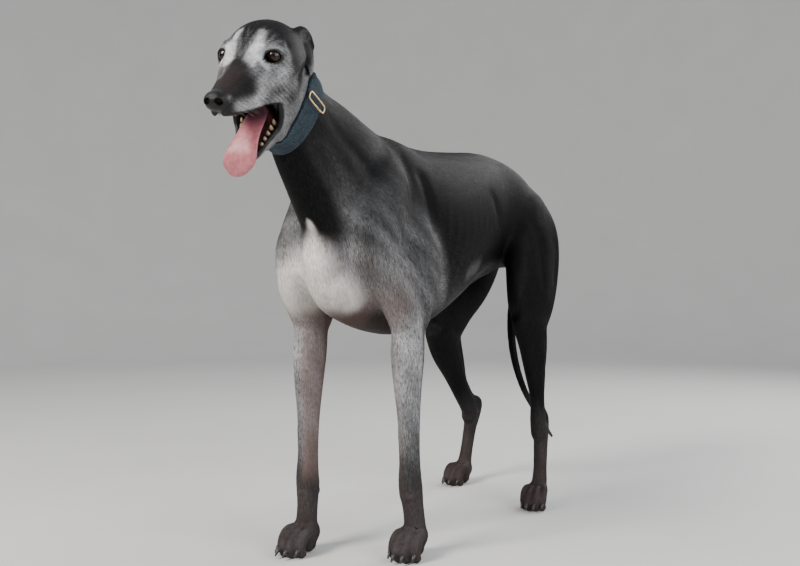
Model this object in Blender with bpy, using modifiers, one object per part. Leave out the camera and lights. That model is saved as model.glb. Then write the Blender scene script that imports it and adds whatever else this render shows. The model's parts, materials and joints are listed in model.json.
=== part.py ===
"""A standing greyhound as a still, life-size model, in metres.

The dog faces -Y, its left side is +X and the floor is z = 0. Flesh is made from lofts that overlap,
fused by a voxel remesh and relaxed, then parted into named pieces by thin cuts.
"""

import math

import bmesh
import bpy
import numpy as np
from mathutils import Matrix, Vector
from mathutils.bvhtree import BVHTree

# Where the origin lies, measured from the point on the floor midway between the forefeet.
ORIGIN_X = -0.0065
ORIGIN_Y = 0.145

# Driving sizes of the body.
WITHERS = 0.727
BRISKET = 0.371
CHEST_HALF_WIDTH = 0.098
LOIN_HALF_WIDTH = 0.068
GAP = 0.0003

# Trunk sections: (y, top, bottom, half width, egg), where an egg above 0 narrows the underside.
TRUNK = [
    (-0.118, 0.560, 0.470, 0.030, 0.00),
    (-0.085, 0.640, 0.415, 0.058, 0.00),
    (-0.030, 0.695, 0.392, 0.076, 0.05),
    (0.040, WITHERS + 0.001, BRISKET + 0.005, 0.088, 0.12),
    (0.120, WITHERS - 0.006, BRISKET, CHEST_HALF_WIDTH, 0.14),
    (0.200, WITHERS - 0.005, BRISKET + 0.018, CHEST_HALF_WIDTH + 0.003, 0.12),
    (0.300, WITHERS + 0.006, BRISKET + 0.060, 0.094, 0.08),
    (0.390, WITHERS + 0.018, BRISKET + 0.104, LOIN_HALF_WIDTH + 0.010, 0.05),
    (0.460, WITHERS + 0.022, BRISKET + 0.124, LOIN_HALF_WIDTH, 0.00),
    (0.530, WITHERS + 0.015, BRISKET + 0.132, 0.074, 0.05),
    (0.590, WITHERS - 0.006, BRISKET + 0.138, 0.076, 0.05),
    (0.645, WITHERS - 0.055, BRISKET + 0.160, 0.052, 0.05),
]

# Lofts along a line: (x, y, z, half width, half depth), x positive on the dog's left.
NECK = [
    (0.000, 0.045, 0.578, 0.070, 0.142),
    (0.002, -0.037, 0.620, 0.066, 0.127),
    (0.010, -0.110, 0.662, 0.056, 0.105),
    (0.020, -0.168, 0.692, 0.0470, 0.084),
    (0.031, -0.211, 0.719, 0.0420, 0.067),
    (0.045, -0.254, 0.744, 0.0395, 0.056),
]
THIGH = {
    1: [
        (0.045, 0.572, 0.665, 0.032, 0.062),
        (0.061, 0.578, 0.590, 0.050, 0.099),
        (0.071, 0.564, 0.520, 0.047, 0.110),
        (0.083, 0.528, 0.450, 0.038, 0.104),
        (0.088, 0.500, 0.392, 0.029, 0.082),
    ],
    -1: [
        (-0.045, 0.572, 0.665, 0.032, 0.062),
        (-0.058, 0.562, 0.590, 0.047, 0.096),
        (-0.068, 0.530, 0.520, 0.046, 0.106),
        (-0.084, 0.484, 0.450, 0.039, 0.100),
        (-0.097, 0.456, 0.385, 0.030, 0.084),
    ],
}
GASKIN = {
    1: [
        (0.090, 0.505, 0.400, 0.028, 0.074),
        (0.096, 0.512, 0.345, 0.0255, 0.054),
        (0.102, 0.512, 0.280, 0.0205, 0.036),
        (0.106, 0.512, 0.225, 0.0150, 0.0210),
        (0.107, 0.514, 0.178, 0.0175, 0.0210),
        (0.108, 0.515, 0.145, 0.0170, 0.0200),
    ],
    -1: [
        (-0.098, 0.462, 0.392, 0.028, 0.076),
        (-0.108, 0.494, 0.338, 0.0265, 0.060),
        (-0.117, 0.548, 0.275, 0.0215, 0.040),
        (-0.123, 0.592, 0.222, 0.0165, 0.0290),
        (-0.127, 0.638, 0.178, 0.0185, 0.0270),
        (-0.129, 0.644, 0.150, 0.0180, 0.0240),
    ],
}
HEEL = {1: (0.107, 0.546, 0.182), -1: (-0.127, 0.684, 0.186)}
HOCK = {1: (0.108, 0.518, 0.150), -1: (-0.129, 0.646, 0.152)}
HIND_PAW = {1: (0.119, 0.478), -1: (-0.132, 0.604)}

SHOULDER_POINT = {1: (0.073, -0.074, 0.510), -1: (-0.078, -0.092, 0.506)}
ELBOW = {1: (0.083, 0.024, 0.382), -1: (-0.092, -0.018, 0.382)}
CARPUS = {1: (0.084, 0.036, 0.116), -1: (-0.087, -0.028, 0.116)}
FORE_PAW = {1: (0.087, 0.036), -1: (-0.087, -0.042)}
PAW_TURN = {"fore": 4.0, "hind": 9.0}

# The head's own frame: its origin is midway between the eyes, it faces -Y and its palate is level.
HEAD_AT = (0.067, -0.350, 0.765)
HEAD_TURN = 15.0
HEAD_NOD = 22.0
HEAD_TILT = 5.8
JAW_HINGE = (0.0, 0.042, -0.046)
JAW_OPEN = 34.0
EYE_AT = (0.0345, 0.0065, 0.0005)
EYE_RADIUS = 0.0122
EYE_OPENING = (0.0112, 0.0080)
LID_THICK = 0.0026
SKULL = [
    (0.108, 0.029, -0.040, 0.034, 0.0),
    (0.085, 0.0400, -0.058, 0.0475, 0.0),
    (0.052, 0.0445, -0.068, 0.0540, 0.0),
    (0.022, 0.0400, -0.066, 0.0520, -0.05),
    (-0.004, 0.0265, -0.060, 0.0445, -0.1),
    (-0.028, 0.0055, -0.056, 0.0355, -0.1),
    (-0.055, -0.0110, -0.054, 0.0265, -0.1),
    (-0.080, -0.0220, -0.054, 0.0205, -0.1),
    (-0.098, -0.0285, -0.0535, 0.0165, -0.1),
]
JAW = [
    (0.052, -0.050, -0.102, 0.0340, 0.15),
    (0.025, -0.066, -0.111, 0.0340, 0.20),
    (0.002, -0.070, -0.109, 0.0310, 0.22),
    (-0.018, -0.072, -0.0965, 0.0265, 0.22),
    (-0.036, -0.073, -0.0890, 0.0215, 0.20),
    (-0.056, -0.073, -0.0850, 0.0160, 0.20),
    (-0.069, -0.072, -0.0820, 0.0115, 0.15),
]
NOSE_AT = (0.0, -0.1000, -0.0415)
NOSE_RADII = (0.0185, 0.0155, 0.0142)

# The lips in the head's and the jaw's frames, left side: (x, y, z, half thickness, half height).
UPPER_LIP = [
    (0.0055, -0.0985, -0.0555, 0.0050, 0.0070),
    (0.0135, -0.0820, -0.0555, 0.0052, 0.0085),
    (0.0195, -0.0500, -0.0560, 0.0055, 0.0085),
    (0.0270, -0.0180, -0.0540, 0.0060, 0.0085),
    (0.0340, 0.0100, -0.0550, 0.0065, 0.0090),
    (0.0370, 0.0300, -0.0520, 0.0070, 0.0100),
]
LOWER_LIP = [
    (0.0045, -0.0715, -0.0740, 0.0045, 0.0055),
    (0.0115, -0.0610, -0.0785, 0.0042, 0.0055),
    (0.0155, -0.0520, -0.0785, 0.0042, 0.0060),
    (0.0205, -0.0420, -0.0765, 0.0042, 0.0066),
    (0.0265, -0.0260, -0.0765, 0.0045, 0.0072),
    (0.0305, -0.0130, -0.0750, 0.0048, 0.0076),
    (0.0340, -0.0050, -0.0695, 0.0050, 0.0076),
    (0.0355, 0.0025, -0.0620, 0.0052, 0.0072),
    (0.0360, 0.0070, -0.0520, 0.0052, 0.0065),
    (0.0355, 0.0130, -0.0420, 0.0055, 0.0065),
]
NECK_CUT = ((0.038, -0.230, 0.738), (0.130, -0.905, 0.420))
COLLAR_AT = (0.0375, -0.2265, 0.7365)
COLLAR_AXIS = (0.134, -0.933, 0.359)
COLLAR_WIDTH = 0.046
COLLAR_THICK = 0.0035
COLLAR_LIFT = 0.0027

TAIL_PATH = [
    (0.000, 0.600, 0.655, 0.030),
    (0.000, 0.650, 0.622, 0.022),
    (-0.004, 0.682, 0.550, 0.0165),
    (-0.020, 0.682, 0.470, 0.0135),
    (-0.030, 0.668, 0.390, 0.0115),
    (-0.022, 0.668, 0.300, 0.0098),
    (-0.004, 0.686, 0.220, 0.0085),
    (0.024, 0.712, 0.155, 0.0070),
    (0.048, 0.730, 0.108, 0.0045),
]

TOES = ((-0.0215, 0.031), (-0.0080, 0.045), (0.0080, 0.045), (0.0215, 0.031))

# A folded ear on the left, along its length: (x, y, z, half thickness, half width).
EAR = [
    (0.0300, 0.074, 0.002, 0.0060, 0.0120),
    (0.0345, 0.085, 0.011, 0.0058, 0.0165),
    (0.0395, 0.095, 0.013, 0.0054, 0.0175),
    (0.0445, 0.103, 0.005, 0.0050, 0.0170),
    (0.0480, 0.106, -0.010, 0.0045, 0.0160),
    (0.0505, 0.104, -0.026, 0.0038, 0.0125),
    (0.0515, 0.101, -0.040, 0.0028, 0.0060),
]
EAR_RIM = [
    (0.0370, 0.081, 0.024, 0.0028),
    (0.0410, 0.092, 0.029, 0.0031),
    (0.0460, 0.104, 0.025, 0.0031),
    (0.0510, 0.113, 0.012, 0.0028),
    (0.0535, 0.116, -0.004, 0.0022),
]
EAR_SHIFT = {1: (-0.002, -0.003, 0.002), -1: (0.003, 0.004, 0.005)}

# The tongue in the jaw's frame: (x, y, z, half width, half thickness).
TONGUE = [
    (0.0, 0.016, -0.061, 0.013, 0.0045),
    (0.0, -0.010, -0.058, 0.0165, 0.0048),
    (0.0, -0.036, -0.057, 0.0175, 0.0048),
    (-0.001, -0.056, -0.059, 0.0205, 0.0046),
    (-0.003, -0.071, -0.064, 0.0250, 0.0042),
    (-0.006, -0.0805, -0.073, 0.0250, 0.0038),
    (-0.009, -0.0870, -0.083, 0.0165, 0.0032),
    (-0.011, -0.0900, -0.0890, 0.0070, 0.0022),
]
RING_STEP = 26
RING_HALF = 0.0235
RING_REACH = 0.95
RING_WIRE = 0.0013

FLESH = ((0.030, 0.030, 0.033), 0.75, 0.0)
COLOURS = {
    "eye_": ((0.030, 0.012, 0.006), 0.08, 0.0),
    "tongue": ((0.55, 0.20, 0.22), 0.35, 0.0),
    "collar_ring": ((0.72, 0.55, 0.28), 0.30, 1.0),
    "collar": ((0.035, 0.080, 0.130), 0.85, 0.0),
    "ear_": ((0.060, 0.058, 0.060), 0.75, 0.0),
    "head": ((0.160, 0.158, 0.158), 0.70, 0.0),
    "lower_jaw": ((0.200, 0.190, 0.185), 0.70, 0.0),
    "foreleg": ((0.180, 0.170, 0.170), 0.75, 0.0),
}


def place(x, y, z):
    """A point measured from midway between the forefeet, in the model's frame."""
    return Vector((x - ORIGIN_X, y - ORIGIN_Y, z))


def head_matrix():
    """The head's frame in the model's."""
    turn = Matrix.Rotation(math.radians(HEAD_TURN), 4, "Z")
    nod = Matrix.Rotation(math.radians(HEAD_NOD), 4, "X")
    tilt = Matrix.Rotation(math.radians(HEAD_TILT), 4, "Y")
    return Matrix.Translation(place(*HEAD_AT)) @ turn @ nod @ tilt


def jaw_matrix():
    """The lower jaw's frame, which is the head's frame when the mouth is shut."""
    hinge = Matrix.Translation(JAW_HINGE)
    return head_matrix() @ hinge @ Matrix.Rotation(math.radians(JAW_OPEN), 4, "X") @ hinge.inverted()


def eased(rows, steps):
    """The rows and those between them, on a curve through every row."""
    rows = np.array(rows, float)
    padded = np.vstack([2 * rows[0] - rows[1], rows, 2 * rows[-1] - rows[-2]])
    out = []
    for i in range(1, len(padded) - 2):
        a, b, c, d = padded[i - 1 : i + 3]
        for t in np.arange(steps) / steps:
            out.append(
                0.5 * (
                    2 * b + (c - a) * t + (2 * a - 5 * b + 4 * c - d) * t**2
                    + (3 * b - a - 3 * c + d) * t**3
                )
            )
    return np.array(out + [rows[-1]])


def skin_rings(rings):
    """(points, faces) of a closed tube through rings of equal size, with a point at each end."""
    rings = np.array(rings)
    count, size = rings.shape[:2]
    points = np.vstack([rings.reshape(-1, 3), rings[0].mean(0), rings[-1].mean(0)])
    faces = []
    for k in range(size):
        j = (k + 1) % size
        for r in range(count - 1):
            faces.append((r * size + k, r * size + j, (r + 1) * size + j, (r + 1) * size + k))
        faces.append((count * size, j, k))
        faces.append((count * size + 1, (count - 1) * size + k, (count - 1) * size + j))
    return points, faces


def rounded(centres, sides, ups, widths, heights, eggs, size):
    """Rings round a line of centres, with two smaller rings past each end to round it off."""
    angles = np.arange(size) * 2 * math.pi / size
    across, along = np.cos(angles), np.sin(angles)
    rings = [
        c + np.outer(across * (1 + e * along) * w, s) + np.outer(along * h, u)
        for c, s, u, w, h, e in zip(centres, sides, ups, widths, heights, eggs)
    ]
    ends = []
    for ring, step in ((rings[0], centres[0] - centres[1]), (rings[-1], centres[-1] - centres[-2])):
        middle = ring.mean(0)
        reach = 0.5 * min(np.linalg.norm(ring - middle, axis=1))
        push = step / np.linalg.norm(step) * reach
        ends.append([middle + (ring - middle) * math.cos(a) + push * math.sin(a) for a in (0.6, 1.15)])
    return ends[0][::-1] + rings + ends[1]


def upright_loft(rows, size=32, steps=4):
    """A loft of upright sections in the plane x = 0, from rows of (y, top, bottom, half width, egg)."""
    rows = eased(rows, steps)
    centres = np.stack([np.zeros(len(rows)), rows[:, 0], (rows[:, 1] + rows[:, 2]) / 2], 1)
    sides = np.tile((1.0, 0.0, 0.0), (len(rows), 1))
    ups = np.tile((0.0, 0.0, 1.0), (len(rows), 1))
    return skin_rings(
        rounded(centres, sides, ups, rows[:, 3], (rows[:, 1] - rows[:, 2]) / 2, rows[:, 4], size)[::-1]
    )


def limb_loft(rows, side=(1, 0, 0), size=20, steps=4):
    """A loft along a bent line. A row is (x, y, z, half width, half depth), or (x, y, z, radius)."""
    rows = [tuple(r) if len(r) == 5 else (*r, r[3]) for r in rows]
    rows = eased(rows, steps)
    centres = rows[:, :3]
    tangents = np.gradient(centres, axis=0)
    tangents /= np.linalg.norm(tangents, axis=1)[:, None]
    sides = np.array(side, float) - tangents * (tangents @ np.array(side, float))[:, None]
    sides /= np.linalg.norm(sides, axis=1)[:, None]
    ups = np.cross(tangents, sides)
    eggs = np.zeros(len(rows))
    return skin_rings(rounded(centres, sides, ups, rows[:, 3], rows[:, 4], eggs, size)[::-1])


def blob(centre, radii, turn=(0, 0, 0), size=16):
    """An ellipsoid with its turn in degrees about X, Y and Z."""
    mesh = bmesh.new()
    bmesh.ops.create_uvsphere(mesh, u_segments=size, v_segments=size // 2, radius=1.0)
    spin = Matrix.Rotation(math.radians(turn[2]), 4, "Z") @ Matrix.Rotation(math.radians(turn[1]), 4, "Y")
    spin = spin @ Matrix.Rotation(math.radians(turn[0]), 4, "X")
    mesh.transform(Matrix.Translation(centre) @ spin @ Matrix.Diagonal((*radii, 1)))
    points = np.array([v.co for v in mesh.verts])
    faces = [tuple(v.index for v in f.verts) for f in mesh.faces]
    mesh.free()
    return points, faces


def moved(shape, matrix):
    """A shape taken through a matrix."""
    m = np.array(matrix)
    return shape[0] @ m[:3, :3].T + m[:3, 3], shape[1]


def between(a, b, t, push=(0, 0, 0)):
    """A point t of the way from a to b, moved by push."""
    return tuple(p + (q - p) * t + r for p, q, r in zip(a, b, push))


def by(point, x=0.0, y=0.0, z=0.0):
    """A point moved by x, y and z."""
    return (point[0] + x, point[1] + y, point[2] + z)


def shifted(shapes):
    """Shapes measured from midway between the forefeet, in the model's frame."""
    return [moved(s, Matrix.Translation(place(0, 0, 0))) for s in shapes]


def trunk():
    """Rib cage, loin and croup, the neck down into the chest, the sheath and the tail."""
    sheath = [(0, 0.385, 0.474, 0.016), (0, 0.440, 0.492, 0.015), (0, 0.495, 0.502, 0.013)]
    return shifted(
        [upright_loft(TRUNK), limb_loft(NECK, size=28), limb_loft(sheath), limb_loft(TAIL_PATH, size=16)]
    )


def foreleg(side):
    """Shoulder blade, upper arm and forearm down to the wrist."""
    point, elbow, carpus = SHOULDER_POINT[side], ELBOW[side], CARPUS[side]
    top = (0.030 * side, elbow[1] * 0.3 + 0.020, WITHERS - 0.036)
    out = (0.022 * side, 0.010, 0)
    blade = [
        (*top, 0.018, 0.030),
        (*between(top, point, 0.35, out), 0.026, 0.056),
        (*between(top, point, 0.75, (0.008 * side, 0.008, 0)), 0.030, 0.052),
        (*by(point, y=0.010), 0.032, 0.042),
    ]
    arm = [
        (*by(point, y=0.015, z=0.004), 0.034, 0.040),
        (*between(point, elbow, 0.45, (0.008 * side, 0.014, 0.014)), 0.034, 0.050),
        (*between(point, elbow, 0.85, (0.003 * side, 0.010, 0.010)), 0.029, 0.042),
        (*by(elbow, y=0.006), 0.025, 0.034),
    ]
    triceps = [
        (*between(top, elbow, 0.34, (0.026 * side, 0.046, 0)), 0.022, 0.036),
        (*between(top, elbow, 0.66, (0.027 * side, 0.042, 0)), 0.027, 0.048),
        (*between(top, elbow, 0.96, (0.004 * side, 0.024, 0)), 0.021, 0.032),
    ]
    forearm = [
        (*between(elbow, carpus, -0.06, (0, 0.008, 0)), 0.0250, 0.0350),
        (*between(elbow, carpus, 0.12, (0, 0.002, 0)), 0.0270, 0.0370),
        (*between(elbow, carpus, 0.32), 0.0235, 0.0320),
        (*between(elbow, carpus, 0.56), 0.0190, 0.0255),
        (*between(elbow, carpus, 0.80), 0.0175, 0.0215),
        (*between(elbow, carpus, 0.95, (0, -0.001, 0)), 0.0205, 0.0225),
        (*between(elbow, carpus, 1.05), 0.0205, 0.0215),
    ]
    tip = blob(by(elbow, y=0.034, z=0.008), (0.013, 0.015, 0.020))
    return shifted([limb_loft(blade), limb_loft(arm), limb_loft(triceps), limb_loft(forearm), tip])


def hindleg(side):
    """Thigh, second thigh, tendon and hock down to the foot."""
    hock, heel, gaskin = HOCK[side], HEEL[side], GASKIN[side]
    x, y = HIND_PAW[side]
    foot = (x * 0.8 + hock[0] * 0.2, y + 0.020, 0.050)
    tendon = [
        (*by(gaskin[1][:3], y=0.034), 0.012, 0.018),
        (*between(gaskin[2][:3], heel, 0.10, (0, 0.018, 0)), 0.0085, 0.0120),
        (*between(gaskin[3][:3], heel, 0.45, (0, 0.008, 0)), 0.0075, 0.0095),
        (*heel, 0.0105, 0.0115),
        (*between(heel, hock, 0.5, (0, 0.010, -0.012)), 0.0120, 0.0125),
        (*between(hock, foot, 0.35, (0, 0.014, 0)), 0.0110, 0.0110),
    ]
    shank = [
        (*by(hock, y=0.010, z=0.012), 0.0165, 0.0250),
        (*between(hock, foot, 0.12, (0, 0.009, 0)), 0.0160, 0.0230),
        (*between(hock, foot, 0.40, (0, 0.006, 0)), 0.0150, 0.0185),
        (*between(hock, foot, 0.75, (0, 0.003, 0)), 0.0150, 0.0165),
        (*foot, 0.0175, 0.0160),
    ]
    return shifted(
        [limb_loft(THIGH[side], size=28), limb_loft(gaskin), limb_loft(tendon), limb_loft(shank)]
    )


def paw(side, kind):
    """A paw with four arched toes on their pads, and for a forefoot the pastern above it."""
    x, y = (FORE_PAW if kind == "fore" else HIND_PAW)[side]
    wide = 1.0 if kind == "fore" else 0.92
    shapes = [
        blob((0, 0.012, 0.034), (0.0235 * wide, 0.024, 0.024)),
        blob((0, 0.012, 0.011), (0.0165 * wide, 0.017, 0.0135)),
    ]
    for spread, reach in TOES:
        s = spread * wide
        toe = [
            (s * 0.70, 0.006, 0.038, 0.0090, 0.0100),
            (s * 0.96, -reach * 0.42, 0.0395, 0.0096 * wide, 0.0105),
            (s * 1.04, -reach * 0.82, 0.027, 0.0096 * wide, 0.0100),
            (s * 1.04, -reach, 0.013, 0.0084 * wide, 0.0082),
        ]
        shapes += [
            limb_loft(toe, size=14),
            blob((s * 1.02, -reach * 0.80, 0.007), (0.0084 * wide, 0.0120, 0.0090)),
        ]
    shapes = [moved(s, paw_matrix(side, kind)) for s in shapes]
    if kind == "hind":
        return shifted(shapes)
    carpus = CARPUS[side]
    pastern = [
        (*by(carpus, z=0.014), 0.0200, 0.0210),
        (*carpus, 0.0215, 0.0215),
        (*between(carpus, (x, y + 0.012, 0.046), 0.5), 0.0190, 0.0190),
        (x, y + 0.010, 0.044, 0.0205, 0.0185),
    ]
    return shifted(
        shapes + [limb_loft(pastern), blob(by(carpus, y=0.020, z=-0.014), (0.011, 0.010, 0.014))]
    )


def paw_matrix(side, kind):
    """The paw's own frame, with its toes to -Y, in the frame between the forefeet."""
    x, y = (FORE_PAW if kind == "fore" else HIND_PAW)[side]
    return Matrix.Translation((x, y, 0)) @ Matrix.Rotation(math.radians(PAW_TURN[kind] * side), 4, "Z")


def claws(side, kind, size=6):
    """The four claws of a paw."""
    wide = 1.0 if kind == "fore" else 0.92
    out = []
    for spread, reach in TOES:
        s = spread * wide * 1.05
        rows = [
            (s, -reach + 0.004, 0.0165, 0.0042), (s, -reach - 0.0065, 0.0145, 0.0036),
            (s, -reach - 0.0135, 0.0060, 0.0012),
        ]
        out.append(moved(spike(rows, size), Matrix.Translation(place(0, 0, 0)) @ paw_matrix(side, kind)))
    return out


def cranium():
    """Skull, cheeks and muzzle with the upper lips and eyelids, in the head's frame."""
    shapes = [upright_loft(SKULL, size=28), blob(NOSE_AT, NOSE_RADII, turn=(-12, 0, 0))]
    shapes.append(blob((0, 0.062, -0.090), (0.032, 0.032, 0.030)))
    for s in (1, -1):
        cheekbone = [
            (0.0290 * s, -0.018, -0.025, 0.008),
            (0.0410 * s, 0.010, -0.023, 0.009),
            (0.0480 * s, 0.038, -0.017, 0.010),
            (0.0440 * s, 0.078, -0.008, 0.009),
        ]
        brow = [
            (0.0180 * s, -0.012, 0.0115, 0.0065),
            (0.0310 * s, 0.003, 0.0145, 0.0070),
            (0.0420 * s, 0.022, 0.0120, 0.0075),
        ]
        shapes += [
            limb_loft(cheekbone), limb_loft(brow), limb_loft([(x * s, *rest) for x, *rest in UPPER_LIP]),
        ]
        masseter = [
            (0.0340 * s, 0.048, -0.018, 0.0120, 0.034),
            (0.0365 * s, 0.052, -0.048, 0.0125, 0.035),
            (0.0320 * s, 0.058, -0.080, 0.0125, 0.031),
            (0.0230 * s, 0.064, -0.104, 0.0110, 0.022),
        ]
        shapes.append(limb_loft(masseter))
        shapes.append(moved(blob((0, 0, 0), (EYE_RADIUS + LID_THICK,) * 3), eye_matrix(s)))
        shapes.append(blob((0.0460 * s, 0.016, -0.004), (0.0075, 0.0130, 0.0150)))
    return shapes


def eye_opening():
    """The cutter between an eye's lids, which looks along +Z of the eye's own frame."""
    wide, high = EYE_OPENING
    angles = [k * math.pi / 8 for k in range(16)]
    outline = [(wide * math.cos(a), high * math.sin(a) * (1 - 0.25 * math.cos(a) ** 2)) for a in angles]
    return skin_rings([[(x, y, z) for x, y in outline] for z in (0.0, 0.03)])


def eye_matrix(side):
    """An eye's own frame, looking along +Z with Y up, in the head's frame."""
    look = Vector((0.32 * side, -0.94, 0.10)).normalized()
    across = Vector((0, 0, 1)).cross(look).normalized()
    frame = Matrix((across, look.cross(across), look)).transposed().to_4x4()
    return Matrix.Translation((EYE_AT[0] * side, EYE_AT[1], EYE_AT[2])) @ frame


def mandible():
    """The lower jaw with its lips, in its own frame."""
    shapes = [upright_loft(JAW, size=24)]
    for s in (1, -1):
        shapes.append(limb_loft([(x * s, *rest) for x, *rest in LOWER_LIP]))
        web = [
            (0.0290 * s, 0.026, -0.066, 0.0080, 0.0150),
            (0.0285 * s, 0.010, -0.076, 0.0075, 0.0145),
            (0.0265 * s, -0.006, -0.083, 0.0065, 0.0120),
            (0.0215 * s, -0.024, -0.084, 0.0060, 0.0090),
            (0.0160 * s, -0.040, -0.084, 0.0050, 0.0070),
        ]
        under = [
            (0.0270 * s, 0.050, -0.082, 0.0110, 0.0180),
            (0.0270 * s, 0.030, -0.096, 0.0105, 0.0180),
            (0.0260 * s, 0.010, -0.098, 0.0095, 0.0150),
            (0.0215 * s, -0.012, -0.090, 0.0080, 0.0095),
        ]
        shapes += [limb_loft(web), limb_loft(under)]
    return shapes


def spike(rows, size=6):
    """A plain pointed loft for a claw or tooth, from rows of (x, y, z, radius)."""
    points = np.array([r[:3] for r in rows], float)
    run = Vector(points[-1] - points[0]).normalized()
    one = run.orthogonal().normalized()
    two = run.cross(one)
    turns = [k * 2 * math.pi / size for k in range(size)]
    round_ = np.array([one * math.cos(t) + two * math.sin(t) for t in turns])
    return skin_rings([p + round_ * r[3] for p, r in zip(points, rows)])


def tooth(x, y, z, radius, reach, size=6):
    """A tooth whose root is at a point and whose tip is reach above it, or below for reach under 0."""
    root = (x, y, z - 0.25 * reach, radius)
    middle = (x, y, z + 0.45 * reach, radius * 0.8)
    return spike([root, middle, (x, y + 0.10 * abs(reach), z + reach, radius * 0.3)], size)


def ear(side):
    """A folded ear that rises from the skull and hangs back beside the nape, with its rolled rim."""
    rows = [(x * side, *rest) for x, *rest in EAR]
    rim = [(x * side, *rest) for x, *rest in EAR_RIM]
    shapes = [limb_loft(rows, size=16), limb_loft(rim, size=10)]
    return [moved(shape, Matrix.Translation(by((0, 0, 0), *EAR_SHIFT[side]))) for shape in shapes]


def ear_cup(side):
    """The hollow of an ear, open to the outside and up."""
    hollow = blob((0.0475 * side, 0.096, 0.017), (0.0050, 0.0110, 0.0075), turn=(-20, 0, 0))
    return moved(hollow, Matrix.Translation(by((0, 0, 0), *EAR_SHIFT[side])))


def tongue():
    """The tongue, which lies along the jaw and hangs over the chin, in the jaw's frame."""
    rows = eased(TONGUE, 2)
    rings = []
    for k, (x, y, z, half, thick) in enumerate(rows):
        ahead, behind = rows[min(k + 1, len(rows) - 1)], rows[max(k - 1, 0)]
        run = np.array((0, *(ahead - behind)[1:3]))
        up = np.cross(run / np.linalg.norm(run), (1.0, 0.0, 0.0))
        angles = np.arange(14) * math.pi / 7
        groove = 0.35 * thick * np.exp(-((np.cos(angles) / 0.25) ** 2)) * (np.sin(angles) > 0)
        lift = np.sin(angles) * thick - groove
        rings.append(
            np.array((x, y, z)) + np.outer(np.cos(angles) * half, (1, 0, 0)) + np.outer(lift, up)
        )
    return skin_rings(rings)


def joined(shapes):
    """One (points, faces) of several shapes."""
    points, faces, base = [], [], 0
    for p, f in shapes:
        points.append(p)
        faces += [tuple(i + base for i in face) for face in f]
        base += len(p)
    return np.vstack(points), faces


def mesh_object(name, shapes):
    """A new object of these shapes, in the scene, with its faces out."""
    points, faces = joined(shapes)
    mesh = bpy.data.meshes.new(name)
    mesh.from_pydata([tuple(p) for p in points], [], faces)
    edit = bmesh.new()
    edit.from_mesh(mesh)
    bmesh.ops.recalc_face_normals(edit, faces=edit.faces)
    edit.to_mesh(mesh)
    edit.free()
    obj = bpy.data.objects.new(name, mesh)
    bpy.context.scene.collection.objects.link(obj)
    return obj


def baked(obj):
    """The object with its modifiers applied."""
    bpy.context.view_layer.update()
    mesh = bpy.data.meshes.new_from_object(obj.evaluated_get(bpy.context.evaluated_depsgraph_get()))
    obj.modifiers.clear()
    obj.data = mesh
    return obj


def fused(name, shapes, voxel):
    """The outer skin of several shapes, as one mesh of even squares."""
    obj = mesh_object(name, shapes)
    remesh = obj.modifiers.new("Remesh", "REMESH")
    remesh.mode = "VOXEL"
    remesh.voxel_size = voxel
    return baked(obj)


def thinned(obj, ratio, weight=None):
    """The object with its faces drawn together to a share of their count, more where the weight is high."""
    decimate = obj.modifiers.new("Decimate", "DECIMATE")
    decimate.ratio = ratio
    if weight:
        group = obj.vertex_groups.new(name="thin")
        for index, value in enumerate(weight(coordinates(obj.data))):
            group.add([index], float(value), "REPLACE")
        decimate.vertex_group = "thin"
        decimate.vertex_group_factor = 1.0
    baked(obj)
    obj.vertex_groups.clear()
    return obj


def carved(obj, other, operation="DIFFERENCE", solver="EXACT"):
    """The object after a Boolean with another, which is removed."""
    cut = obj.modifiers.new("Boolean", "BOOLEAN")
    cut.operation = operation
    cut.object = other
    cut.solver = solver
    baked(obj)
    bpy.data.objects.remove(other, do_unlink=True)
    return obj


def grown(obj, gap):
    """A copy of the object a gap larger all round."""
    copy = bpy.data.objects.new(obj.name + "_grown", obj.data.copy())
    bpy.context.scene.collection.objects.link(copy)
    displace = copy.modifiers.new("Displace", "DISPLACE")
    displace.strength = gap
    displace.mid_level = 0.0
    return baked(copy)


def box(low, high):
    """A box between two corners, in the frame between the forefeet."""
    mesh = bmesh.new()
    bmesh.ops.create_cube(mesh, size=1.0)
    size = Vector(high) - Vector(low)
    mesh.transform(Matrix.Translation(place(*(Vector(low) + size / 2))) @ Matrix.Diagonal((*size, 1)))
    out = np.array([v.co for v in mesh.verts]), [tuple(v.index for v in f.verts) for f in mesh.faces]
    mesh.free()
    return out


def level_cut(middle, height, wide, deep):
    """A thin level slab, for a cut across a leg."""
    low = (middle[0] - wide, middle[1] - deep, height - GAP / 2)
    return box(low, (middle[0] + wide, middle[1] + deep, height + GAP / 2))


def slab(centre, normal, reach, matrix=None):
    """A thin square slab across a direction."""
    normal = Vector(normal).normalized()
    frame = (
        matrix or Matrix.Translation(place(0, 0, 0))
    ) @ Matrix.Translation(centre) @ normal.to_track_quat("Z", "Y").to_matrix().to_4x4()
    corners = [
        (x, y, z) for z in (-GAP / 2, GAP / 2)
        for x, y in ((-reach, -reach), (reach, -reach), (reach, reach), (-reach, reach))
    ]
    points = np.array([frame @ Vector(c) for c in corners])
    return points, [(0, 3, 2, 1), (4, 5, 6, 7), (0, 1, 5, 4), (1, 2, 6, 5), (2, 3, 7, 6), (3, 0, 4, 7)]


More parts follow.
